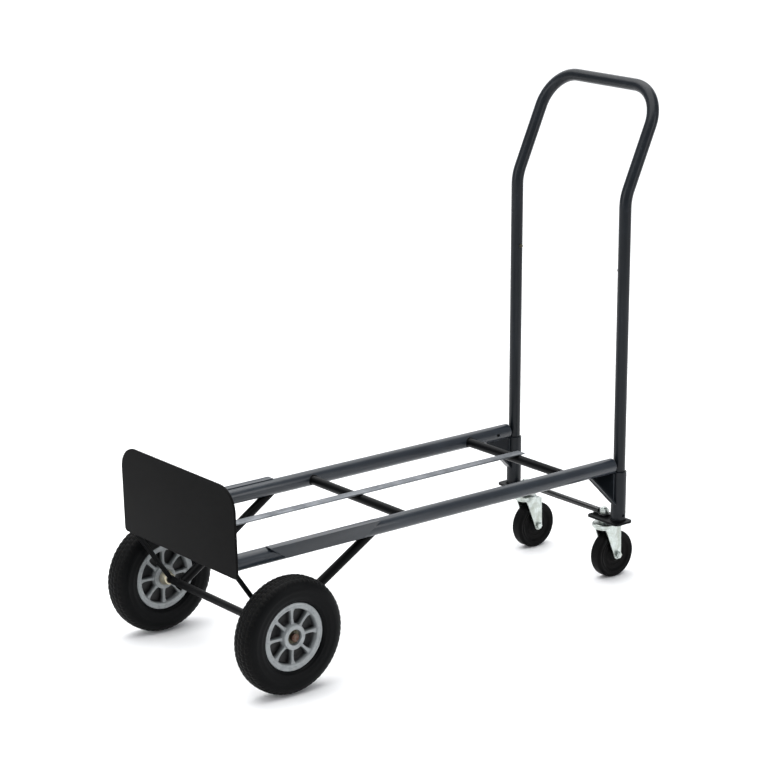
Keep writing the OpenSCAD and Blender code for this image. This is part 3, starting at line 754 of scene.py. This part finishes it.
# %% Rails with rolled rims
RAIL_BORE = RAIL_R - 2.575 * MM
BUTTON_HOLE = 4.2 * MM
BUTTON_FROM_END = 38 * MM
for side, sign in SIDES.items():
    bm = bmesh.new()
    path = [Vector((x, sign * RAIL_Y, RAIL_Z)) for x in (RAIL_FRONT + 4 * MM, RAIL_REAR)]
    tube(bm, path, RAIL_R, RAIL_BORE, steps=64, lip=0.9 * MM)
    rail = piece(
        f"rail_{side}_tube", bm, slate_coat, "frame", (f"rail_{side}",)
    )
    hole = Vector((RAIL_REAR - BUTTON_FROM_END, sign * (RAIL_Y - RAIL_R), RAIL_Z))
    drilled(rail, hole, Vector((0, 1, 0)), BUTTON_HOLE, 12 * MM)

# %% [markdown]
# ## Toe plate, guards and other flat parts
#
# Laser-cut and bent sheet has no sharp edges once it is tumbled and sprayed. The CAD outlines are
# already right, so these parts are copied and their edges rolled over by 0.4 to 1.2 mm. Where
# the copy would come out open or the wrong size, the CAD part stays as it is.

# %% Roll the edges of the flat parts
softened("toe_plate", plate_coat, 1.3 * MM, 3)
softened("bed_strip", strip_metal, 0.6 * MM)
for side in SIDES:
    softened(f"rail_guard_{side}", slate_coat, 0.5 * MM)
    softened(f"mount_plate_{side}", black_coat, 0.8 * MM)
    # The gussets take the darker slate copy, painted shade.
    softened(f"gusset_{side}", shaded_slate, 0.4 * MM)
    softened(f"fork_{side}", zinc_plate, 0.5 * MM)
    softened(f"race_cap_{side}", zinc_plate, 0.5 * MM)
    softened(f"caster_nut_{side}", zinc_plate, 0.4 * MM)
softened("axle_washers", oily_steel, 0.25 * MM)
softened("axle_collars", collar_zinc, 0.8 * MM)
softened("stem_nuts", zinc_plate, 0.5 * MM)
softened("tie_rod", rod_coat, 0.4 * MM)
softened("handle_plugs", plug_black, 0.8 * MM)

# %% Refinish the round bars and the small inner parts
finish_cad(black_coat, "cross_tube_front", "cross_tube_rear")
finish_cad(axle_bar, "axle")
for side in SIDES:
    finish_cad(black_coat, f"rear_strut_{side}", f"front_strut_{side}")
    # The sockets take the darker slate copy, painted shade.
    finish_cad(shaded_slate, f"socket_{side}")
    finish_cad(oily_steel, f"snap_button_{side}")
    finish_cad(zinc_plate, f"ball_ring_{side}", f"caster_sleeve_{side}")

# %% [markdown]
# ## Handle
#
# One length of tube is bent four times: twice where the upper part leans back, and twice at the
# top corners. A curve object with a bevel would give the outside in one line, but not the wall,
# the open bore and the two button holes, so it is swept with both skins like the rails.

# %% Bend the handle
handle_low, handle_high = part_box("handle_tube")
plug_low, plug_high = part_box("handle_plugs")
HANDLE_R = (plug_high.y - plug_low.y) / 2 - RAIL_Y
HANDLE_BORE = HANDLE_R - 1.6 * MM
LEAN = math.radians(24.4)
BEND_R, CORNER_R = 90 * MM, 78 * MM
TOP_Z = handle_high.z - HANDLE_R
TOP_X = handle_high.x - HANDLE_R
BEND_Z = TOP_Z - (TOP_X - LEG_X) / math.tan(LEAN)
corners = [
    Vector((LEG_X, -RAIL_Y, handle_low.z)), Vector((LEG_X, -RAIL_Y, BEND_Z)),
    Vector((TOP_X, -RAIL_Y, TOP_Z)), Vector((TOP_X, RAIL_Y, TOP_Z)),
    Vector((LEG_X, RAIL_Y, BEND_Z)), Vector((LEG_X, RAIL_Y, handle_low.z)),
]
path = bent_path(corners, [BEND_R, CORNER_R, CORNER_R, BEND_R])
bm = bmesh.new()
tube(bm, path, HANDLE_R, HANDLE_BORE, steps=48, lip=0.5 * MM)
# The handle takes the darker slate copy, painted shade for its upright legs.
handle = piece("handle_bent_tube", bm, shaded_slate, "handle", ("handle_tube",))
BUTTON_Z = middle("snap_button_left").z
for sign in SIDES.values():
    inner_wall = Vector((LEG_X, sign * (RAIL_Y - HANDLE_R), BUTTON_Z))
    drilled(handle, inner_wall, Vector((0, 1, 0)), BUTTON_HOLE, 8 * MM)
print("handle bends at", round(BEND_Z, 3), "m and tops out at", round(TOP_Z, 3), "m")

# %% [markdown]
# Inside each leg a bent leaf spring pushes its button out. One leaf stays against the wall of the
# leg and the other follows the button, so the spring is cut into narrow strips across its width
# and rides on no body. Riding it on either body would push a leaf through the button.

# %% Springs cut into strips
STRIPS = 12
for side, sign in SIDES.items():
    node = f"button_spring_{side}"
    low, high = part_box(node)
    bm = copy_of(node)
    for k in range(1, STRIPS):
        bmesh.ops.bisect_plane(
            bm, geom=bm.verts[:] + bm.edges[:] + bm.faces[:],
            plane_co=low.lerp(high, k / STRIPS), plane_no=(0, 1, 0),
        )
    spring = piece(f"{node}_leaf", bm, zinc_plate, None, (node,))
    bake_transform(spring)

# %% [markdown]
# ## Tyres
#
# A solid rubber tyre is moulded in one piece: flat side walls with fine rings, rounded shoulders
# and a band of small blocks. It could be a torus with a tread drawn in its bump, but the outline
# would stay smooth. Here the section is spun in many steps and each point in the tread band is
# pushed in where a groove passes, so the blocks show against the light.

# %% Section of the tyre
RIM_R = 67 * MM
RIM_SEAT = 62 * MM
RIM_HALF = 19 * MM
BEAD_HALF = 15 * MM
BULGE_R = RIM_R + 0.45 * (WHEEL_R - RIM_R)
BEAD_GAP = 0.4 * MM
BEAD_STEP = 4 * MM


def tyre_side():
    """Half of the tyre's section, as (radius, along) from its bead to the middle of its tread."""
    bead_r, bead_y = RIM_R + BEAD_GAP, BEAD_HALF + BEAD_STEP
    points = [(RIM_SEAT, BEAD_HALF), (bead_r, BEAD_HALF)]
    for degrees in range(90, -1, -5):
        a = math.radians(degrees)
        points.append((
            BULGE_R - (BULGE_R - bead_r) * math.sin(a),
            bead_y + (WHEEL_HALF - bead_y) * math.cos(a),
        ))
    for degrees in range(3, 91, 3):
        a = math.radians(degrees)
        points.append((
            BULGE_R + (WHEEL_R - BULGE_R) * math.sin(a) ** 0.8,
            WHEEL_HALF * max(0.0, math.cos(a)) ** 0.8,
        ))
    return points


# %% Rings on the wall and blocks on the tread
WALL_RINGS = ((73, 1.6, 0.9), (79, 0.8, 0.45), (82, 0.8, 0.45), (96, 1.0, 0.7), (103, 1.4, 0.8))
WALL_SINK = 0.9 * MM
TREAD_HALF = WHEEL_HALF * 0.86
TREAD_ROWS = 5
TREAD_BLOCKS = 60
GROOVE_DEPTH = 1.5 * MM


def wall_rings(radius):
    """Height of the fine moulded rings on the side wall, each with its radius, width, height."""
    height = 0.0
    for ring, wide, tall in WALL_RINGS:
        height = max(height, tall * MM * math.exp(-(((radius / MM - ring) / wide) ** 2)))
    return height


def wave(turns):
    """0 at whole turns and 1 half way between them."""
    return 0.5 - 0.5 * math.cos(2 * math.pi * turns)


def groove(angle, along):
    """How deep the tread is cut at a place. Every other row of blocks is half a block on."""
    half = along / TREAD_HALF
    if abs(half) > 1:
        return 0.0
    odd_row = int((half + 1) * TREAD_ROWS / 2) % 2
    slant = TREAD_BLOCKS * angle / (2 * math.pi) + 0.5 * odd_row + half * 0.35
    cut = max(wave(half * TREAD_ROWS / 2) ** 3, wave(slant) ** 4)
    return GROOVE_DEPTH * cut * (1 - abs(half) ** 8)


print("tread:", TREAD_ROWS, "rows of", TREAD_BLOCKS, "blocks")


# %% Mould both tyres
TREAD_STEPS = 480
half_section = tyre_side()
section = half_section + [(r, -y) for r, y in reversed(half_section[:-1])]
for side in SIDES:
    bm = bmesh.new()
    centre = Vector((WHEEL.x, middle(f"tyre_{side}").y, WHEEL.z))
    rings = []
    for radius, along in section:
        ring = []
        for angle in angles(TREAD_STEPS):
            r, y = radius, along
            if radius > BULGE_R + 2 * MM:
                r -= groove(angle, along)
            elif radius > RIM_R + 3 * MM:
                y -= math.copysign(WALL_SINK - wall_rings(radius), along)
            ring.append(centre + Vector((r * math.cos(angle), y, r * math.sin(angle))))
        rings.append(ring)
    skin_rings(bm, rings, closed_along=True)
    tyre = piece(
        f"tyre_{side}_moulded", bm, tyre_rubber, f"wheel_{side}", (f"tyre_{side}",), 40
    )
print("tyre:", len(tyre.data.vertices), "points")

# %% [markdown]
# ## Hubs
#
# The hub is one moulding: a rim ring, a boss and eight spokes on a thin web, all with draft and
# soft corners because it has to leave its mould. Boxes joined together would show knife edges.
# Instead each face is a height map in the round: every station gives the radius, the height on
# a spoke and the height in a pocket, and the points slide between the two near a spoke.

# %% Hub stations and spokes
SPOKES = 8
HUB_STEPS = 576
BOSS_R = 24.5 * MM
BUSH_R = (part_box("hub_bushes_left")[1].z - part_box("hub_bushes_left")[0].z) / 2
hub_low, hub_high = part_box("hub_left")
hub_middle = middle("tyre_left").y
BOSS_OUT = hub_middle - hub_low.y
BOSS_IN = hub_high.y - hub_middle
SPOKE_TOP = 15 * MM
SPOKE_HALF = 2.4 * MM
SPOKE_DRAFT = 1.5 * MM
WEB_TOP = 2.5 * MM


def hub_face(boss_top, recess):
    """Stations of one face as (radius, height on a spoke, height in a pocket), bore to rim."""
    return [
        (10.94 * MM, boss_top - recess, boss_top - recess),
        (15.2 * MM, boss_top - recess, boss_top - recess),
        (15.5 * MM, boss_top - recess + 0.3 * MM, boss_top - recess + 0.3 * MM),
        (15.5 * MM, boss_top - 1.0 * MM, boss_top - 1.0 * MM),
        (15.8 * MM, boss_top - 0.3 * MM, boss_top - 0.3 * MM),
        (16.6 * MM, boss_top, boss_top),
        (22.8 * MM, boss_top, boss_top),
        (23.9 * MM, boss_top - 0.4 * MM, boss_top - 0.4 * MM),
        (BOSS_R, boss_top - 1.5 * MM, boss_top - 1.5 * MM),
        (BOSS_R + 0.3 * MM, SPOKE_TOP + 1.2 * MM, SPOKE_TOP - 1.0 * MM),
        (BOSS_R + 0.7 * MM, SPOKE_TOP + 0.3 * MM, 6.0 * MM),
        (BOSS_R + 1.3 * MM, SPOKE_TOP, 3.6 * MM),
        (BOSS_R + 2.4 * MM, SPOKE_TOP - 0.2 * MM, WEB_TOP + 0.2 * MM),
        (BOSS_R + 4.0 * MM, SPOKE_TOP - 0.5 * MM, WEB_TOP),
        (34 * MM, SPOKE_TOP - 1.2 * MM, WEB_TOP),
        (40 * MM, SPOKE_TOP - 1.5 * MM, WEB_TOP),
        (46 * MM, SPOKE_TOP - 1.2 * MM, WEB_TOP),
        (50.5 * MM, SPOKE_TOP - 0.6 * MM, WEB_TOP),
        (52.5 * MM, SPOKE_TOP - 0.2 * MM, WEB_TOP + 0.2 * MM),
        (53.8 * MM, SPOKE_TOP, 3.8 * MM),
        (54.5 * MM, SPOKE_TOP + 0.6 * MM, 7.5 * MM),
        (55.0 * MM, SPOKE_TOP + 1.6 * MM, 15.5 * MM),
        (55.4 * MM, 17.6 * MM, 17.4 * MM),
        (56.4 * MM, 18.6 * MM, 18.6 * MM),
        (57.8 * MM, RIM_HALF, RIM_HALF),
        (60.0 * MM, RIM_HALF, RIM_HALF),
        (61.0 * MM, 18.5 * MM, 18.5 * MM),
        (62.6 * MM, 18.5 * MM, 18.5 * MM),
        (63.4 * MM, RIM_HALF, RIM_HALF),
        (65.8 * MM, RIM_HALF, RIM_HALF),
        (66.7 * MM, 18.7 * MM, 18.7 * MM),
        (RIM_R, 18.0 * MM, 18.0 * MM),
        (RIM_R, BEAD_HALF + 0.2 * MM, BEAD_HALF + 0.2 * MM),
        (RIM_SEAT, BEAD_HALF, BEAD_HALF),
    ]


def spoke_share(angle, radius):
    """1 on a spoke, 0 in a pocket. The root at the boss and the foot at the rim are wider."""
    pitch = 2 * math.pi / SPOKES
    off = abs((angle + pitch / 2) % pitch - pitch / 2) * radius
    half = SPOKE_HALF
    for root, wider, reach in ((54 * MM, 2.6 * MM, 4 * MM), (BOSS_R, 1.8 * MM, 3 * MM)):
        half += wider * math.exp(-((radius - root) / reach) ** 2)
    t = min(1.0, max(0.0, (off - half) / SPOKE_DRAFT))
    return 1 - t * t * (3 - 2 * t)


# %% Mould both hubs
for side, sign in SIDES.items():
    bm = bmesh.new()
    centre = Vector((WHEEL.x, middle(f"tyre_{side}").y, WHEEL.z))
    rings = []
    outer_face = [(s, sign) for s in hub_face(BOSS_OUT, 8 * MM)]
    inner_face = [(s, -sign) for s in reversed(hub_face(BOSS_IN, 0.0))]
    for (radius, on_spoke, in_pocket), way in outer_face + inner_face:
        ring = []
        for angle in angles(HUB_STEPS):
            share = spoke_share(angle, radius)
            y = way * (in_pocket + (on_spoke - in_pocket) * share)
            ring.append(centre + Vector((radius * math.cos(angle), y, radius * math.sin(angle))))
        rings.append(ring)
    skin_rings(bm, rings, closed_along=True)
    hub = piece(f"hub_{side}_moulded", bm, hub_grey, f"wheel_{side}", (f"hub_{side}",), 42)
print("hub:", len(hub.data.vertices), "points,", SPOKES, "spokes")

# %% [markdown]
# The bushes, the caster treads and the cores are turned parts, so each is a short section with
# rounded corners, spun about its axle. The bushes stay two separate rings, one at each end.

# %% Turn the bushes
BUSH_BORE = 7.99 * MM
BUSH_BODY = 10.94 * MM
FLANGE_T = 2 * MM
OUTER_LENGTH, INNER_LENGTH = 22 * MM, 14 * MM
for side, sign in SIDES.items():
    bm = bmesh.new()
    low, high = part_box(f"hub_bushes_{side}")
    far, near = (low.y, high.y) if sign < 0 else (high.y, low.y)
    for edge, inward, length in ((far, -sign, OUTER_LENGTH), (near, sign, INNER_LENGTH)):
        shape = [
            (BUSH_BORE, 0), (BUSH_R, 0), (BUSH_R, FLANGE_T), (BUSH_BODY, FLANGE_T),
            (BUSH_BODY, length), (BUSH_BORE, length),
        ]
        centre = Vector((WHEEL.x, edge, WHEEL.z))
        turned(bm, rounded(shape, 0.5 * MM, 3), centre, Vector((0, inward, 0)), 72)
    piece(f"bushes_{side}_turned", bm, bush_bronze, f"wheel_{side}",
          (f"hub_bushes_{side}",))
print("bushes: two flanged rings in each hub")

# %% [markdown]
# ## Split pins
#
# A split pin is one soft wire folded double: an eye above the axle, two legs through it, and the
# ends spread apart underneath. Two straight pins would leave out the eye. The wire's middle
# line is drawn once, in millimetres from the axle's own line, and swept.

# %% Fold the split pins
WIRE_R = 0.72 * MM
pin_low, pin_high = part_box("cotter_pins")
PIN_Y = max(abs(pin_low.y), abs(pin_high.y)) - 3 * MM
EYE_Z, EYE_R = 11.6, 2.1
LEG = 0.78
eye_turns = [math.radians(degrees) for degrees in range(230, -51, -20)]
wire = [
    (-5.5, -10.6), (-3.2, -10.2), (-1.2, -9.2), (-LEG, -8), (-LEG, 0), (-LEG, 8.2),
    *((EYE_R * math.cos(a), EYE_Z + EYE_R * math.sin(a)) for a in eye_turns),
    (LEG, 8.2), (LEG, 0), (LEG, -8), (1.2, -9.2), (3.6, -10.6), (4.6, -11.2),
]
bm = bmesh.new()
for sign in SIDES.values():
    centre = Vector((WHEEL.x, sign * PIN_Y, WHEEL.z))
    path = [centre + Vector((x * MM, 0, z * MM)) for x, z in wire]
    cap(bm, sweep(bm, path, round_ring(WIRE_R, 12)))
piece("split_pins", bm, oily_steel, "frame", ("cotter_pins",), 50)
print("split pins: one in each end of the axle")

# %% [markdown]
# ## Caster wheels
#
# The casters roll on hard black rubber bonded to a moulded core. The tread is a plain band with
# round shoulders and a moulding line; the core has a raised boss, a dish and shallow rings.

# %% Turn the caster wheels
CORE_R = 40 * MM
CORE_BOSS_R = 14 * MM
SLEEVE_R = 6 * MM


def caster_band():
    """Section of the tread, from one flank over the top to the other."""
    shoulder = 6 * MM
    step = CASTER_HALF - 0.6 * MM
    right = []
    for degrees in range(0, 91, 10):
        a = math.radians(degrees)
        right.append((
            CASTER_R - shoulder + shoulder * math.cos(a),
            CASTER_HALF - shoulder + shoulder * math.sin(a),
        ))
    right += [(42.2 * MM, CASTER_HALF), (41.6 * MM, step), (CORE_R, step)]
    return [(r, -y) for r, y in reversed(right)] + [(CASTER_R, 0)] + right


def core_half():
    """Half of the core's section: bore, boss, dish with two shallow rings, outer flange."""
    half, dish = CASTER_HALF, CASTER_HALF - 4 * MM
    return [
        (SLEEVE_R + 0.05 * MM, half), (CORE_BOSS_R - 1 * MM, half),
        (CORE_BOSS_R, half - 0.8 * MM), (CORE_BOSS_R + 1.6 * MM, dish + 0.8 * MM),
        (CORE_BOSS_R + 3 * MM, dish), (23 * MM, dish),
        (23.6 * MM, dish + 0.7 * MM), (24.6 * MM, dish + 0.7 * MM), (25.2 * MM, dish),
        (32 * MM, dish), (34 * MM, dish + 0.5 * MM), (35.5 * MM, dish + 2.2 * MM),
        (37 * MM, half - 0.7 * MM), (38 * MM, half), (CORE_R, half),
    ]


for side in SIDES:
    centre = middle(f"caster_tread_{side}")
    spin = Vector((0, 1, 0))
    bm = bmesh.new()
    turned(bm, caster_band(), centre, spin, 120)
    piece(f"caster_tread_{side}_bonded", bm, caster_rubber, f"caster_wheel_{side}",
          (f"caster_tread_{side}",), 50)
    bm = bmesh.new()
    half_core = core_half()
    turned(bm, half_core + [(r, -y) for r, y in reversed(half_core)], centre, spin, 96)
    piece(f"caster_core_{side}_moulded", bm, plug_black, f"caster_wheel_{side}",
          (f"caster_core_{side}",), 50)
print("caster wheels turned about", [round(v, 3) for v in CASTER])

# %% [markdown]
# ## Stems, bolts and threads
#
# A thread is a ramp wound round a bar. Instead of modelling a helix and cutting it out, each
# point of a plain bar is pulled in by an amount that depends on its height and its angle
# together, which winds the groove by itself.

# %% A bar with a thread on part of it
def threaded_bar(bm, centre, direction, profile, thread_from, thread_to, pitch, depth, steps=48):
    """profile is (radius, along) pairs of a solid bar; the stretch between the limits is cut."""
    direction = direction.normalized()
    first, second = across(direction)
    stations = []
    for (r0, a0), (r1, a1) in zip(profile, profile[1:]):
        plain = r0 != r1 or a1 <= thread_from
        count = 1 if plain else max(1, round(abs(a1 - a0) / (pitch / 8)))
        stations += [(r0 + (r1 - r0) * k / count, a0 + (a1 - a0) * k / count) for k in range(count)]
    stations.append(profile[-1])
    rings = []
    for radius, along in stations:
        ring = []
        for i, angle in enumerate(angles(steps)):
            r = radius
            if thread_from < along < thread_to:
                turn = (along / pitch - i / steps) % 1
                r -= depth * (1 - abs(2 * turn - 1))
            spoke = first * math.cos(angle) + second * math.sin(angle)
            ring.append(centre + direction * along + spoke * r)
        rings.append(ring)
    cap(bm, skin_rings(bm, rings))


# %% Caster stems
STEM_R, STEM_NECK_R, SHOULDER_R = 6.35 * MM, 5 * MM, 10.35 * MM
for side in SIDES:
    low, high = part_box(f"caster_stem_{side}")
    stem = middle(f"caster_stem_{side}")
    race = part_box(f"race_cap_{side}")[1].z - low.z
    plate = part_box(f"mount_plate_{side}")[0].z - low.z
    tip = high.z - low.z
    shape = [
        (7.2 * MM, 0), (8 * MM, 0.8 * MM), (8 * MM, 3.4 * MM), (7.4 * MM, 4 * MM),
        (STEM_NECK_R, 4 * MM), (STEM_NECK_R, race),
        (9.9 * MM, race), (SHOULDER_R, race + 0.5 * MM),
        (SHOULDER_R, plate - 0.5 * MM), (9.9 * MM, plate),
        (STEM_R, plate), (STEM_R, tip - 1.2 * MM), (STEM_R - 1.2 * MM, tip),
    ]
    bm = bmesh.new()
    threaded_bar(
        bm, Vector((stem.x, stem.y, low.z)), Vector((0, 0, 1)), shape,
        plate + 9 * MM, tip, pitch=1.75 * MM, depth=0.8 * MM,
    )
    piece(f"caster_stem_{side}_threaded", bm, zinc_plate, "frame",
          (f"caster_stem_{side}",), 38)
print("stems:", round((high.z - low.z) / MM), "mm tall")

# %% Caster axle bolts
for side in SIDES:
    low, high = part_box(f"caster_bolt_{side}")
    centre = middle(f"caster_bolt_{side}")
    start = low.y if middle(f"caster_nut_{side}").y > centre.y else high.y
    way = 1 if start == low.y else -1
    length = high.y - low.y
    base, inward = Vector((centre.x, start, centre.z)), Vector((0, way, 0))
    bm = bmesh.new()
    head = [
        (0.1 * MM, 0), (5.6 * MM, 0), (6.9 * MM, 0.7 * MM),
        (7.2 * MM, 1.4 * MM), (7.2 * MM, 5 * MM), (0.1 * MM, 5 * MM),
    ]
    turned(bm, head, base, inward, steps=6)
    shank = [(4 * MM, 4.6 * MM), (4 * MM, length - 0.9 * MM), (3.2 * MM, length)]
    threaded_bar(
        bm, base, inward, shank, length - 9 * MM, length, pitch=1.25 * MM, depth=0.55 * MM, steps=32
    )
    piece(f"caster_bolt_{side}_hex", bm, zinc_plate, f"caster_{side}",
          (f"caster_bolt_{side}",), 30)
print("bolts: head on one side, nut on the other")

# %% [markdown]
# ## Weld beads
#
# Everything on the frame is welded, and a weld shows as a ripple of overlapping puddles under
# the paint. Each bead follows the real line where two parts meet, worked out from their radii,
# and its thickness swells and shrinks along the way.

# %% Lay a bead along a line
RIPPLE = 2.2 * MM
SWELL = 0.16


def bead(bm, line, radius, closed=True):
    """A rippled bead of weld; open beads are capped at both ends."""
    travelled = [0.0]
    for a, b in zip(line, line[1:]):
        travelled.append(travelled[-1] + (b - a).length)

    def ring_of(i, u, v):
        swell = 1 + SWELL * math.sin(2 * math.pi * travelled[i] / RIPPLE)
        return [(u * math.cos(a) + v * math.sin(a)) * radius * swell for a in angles(10)]

    grid = sweep(bm, line, ring_of, closed)
    if not closed:
        cap(bm, grid)


def saddle(centre_x, centre_z, radius, sign):
    """Where a cross tube meets the curved side of a rail."""
    line = []
    for a in angles(72):
        x, z = centre_x + radius * math.cos(a), centre_z + radius * math.sin(a)
        reach = math.sqrt(max(0.0, RAIL_R ** 2 - (z - RAIL_Z) ** 2))
        line.append(Vector((x, sign * (RAIL_Y - reach), z)))
    return line


# %% Weld the frame
CROSS_R = (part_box("cross_tube_front")[1].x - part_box("cross_tube_front")[0].x) / 2
PLATE_LEAN = math.tan(math.radians(1.7))
PLATE_BACK = RAIL_FRONT + 3.5 * MM
RAIL_UNDER = RAIL_Z - RAIL_R
LEG_FRONT = LEG_X - RAIL_R
slate_beads, black_beads = bmesh.new(), bmesh.new()
for side, sign in SIDES.items():
    rail_y = sign * RAIL_Y
    for name in ("cross_tube_front", "cross_tube_rear"):
        place = middle(name)
        bead(black_beads, saddle(place.x, place.z, CROSS_R + 0.4 * MM, sign), 1.5 * MM)
    rail_to_plate = [
        Vector((
            PLATE_BACK - math.sin(a) * RAIL_R * PLATE_LEAN,
            rail_y + RAIL_R * math.cos(a),
            RAIL_Z + RAIL_R * math.sin(a),
        ))
        for a in angles(96)
    ]
    bead(slate_beads, rail_to_plate, 1.8 * MM)
    foot_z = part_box(f"socket_{side}")[0].z + 0.6 * MM
    socket_foot = [
        Vector((LEG_X + RAIL_R * math.cos(a), rail_y + RAIL_R * math.sin(a), foot_z))
        for a in angles(96)
    ]
    bead(black_beads, socket_foot, 1.6 * MM)
    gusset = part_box(f"gusset_{side}")[0]
    under_from, under_length = gusset.x + 3 * MM, LEG_FRONT - gusset.x - 5 * MM
    drop_from, drop_length = RAIL_UNDER - 3 * MM, RAIL_UNDER - gusset.z - 8 * MM
    for y in (rail_y - 1.5 * MM, rail_y + 1.5 * MM):
        under_rail = [
            Vector((under_from + under_length * k / 40, y, RAIL_UNDER + 0.2 * MM))
            for k in range(41)
        ]
        down_socket = [
            Vector((LEG_FRONT - 0.1 * MM, y, drop_from - drop_length * k / 40)) for k in range(41)
        ]
        bead(slate_beads, under_rail, 1.2 * MM, closed=False)
        bead(slate_beads, down_socket, 1.2 * MM, closed=False)
piece("weld_beads_slate", slate_beads, slate_coat, "frame", (), 60)
piece("weld_beads_black", black_beads, black_coat, "frame", (), 60)
print("welds: rails to plate, cross tubes to rails, sockets to plates, gussets to both")

# %% Record the sizes and finish
low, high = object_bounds()
print("visual box:", [round(v, 4) for v in high - low])
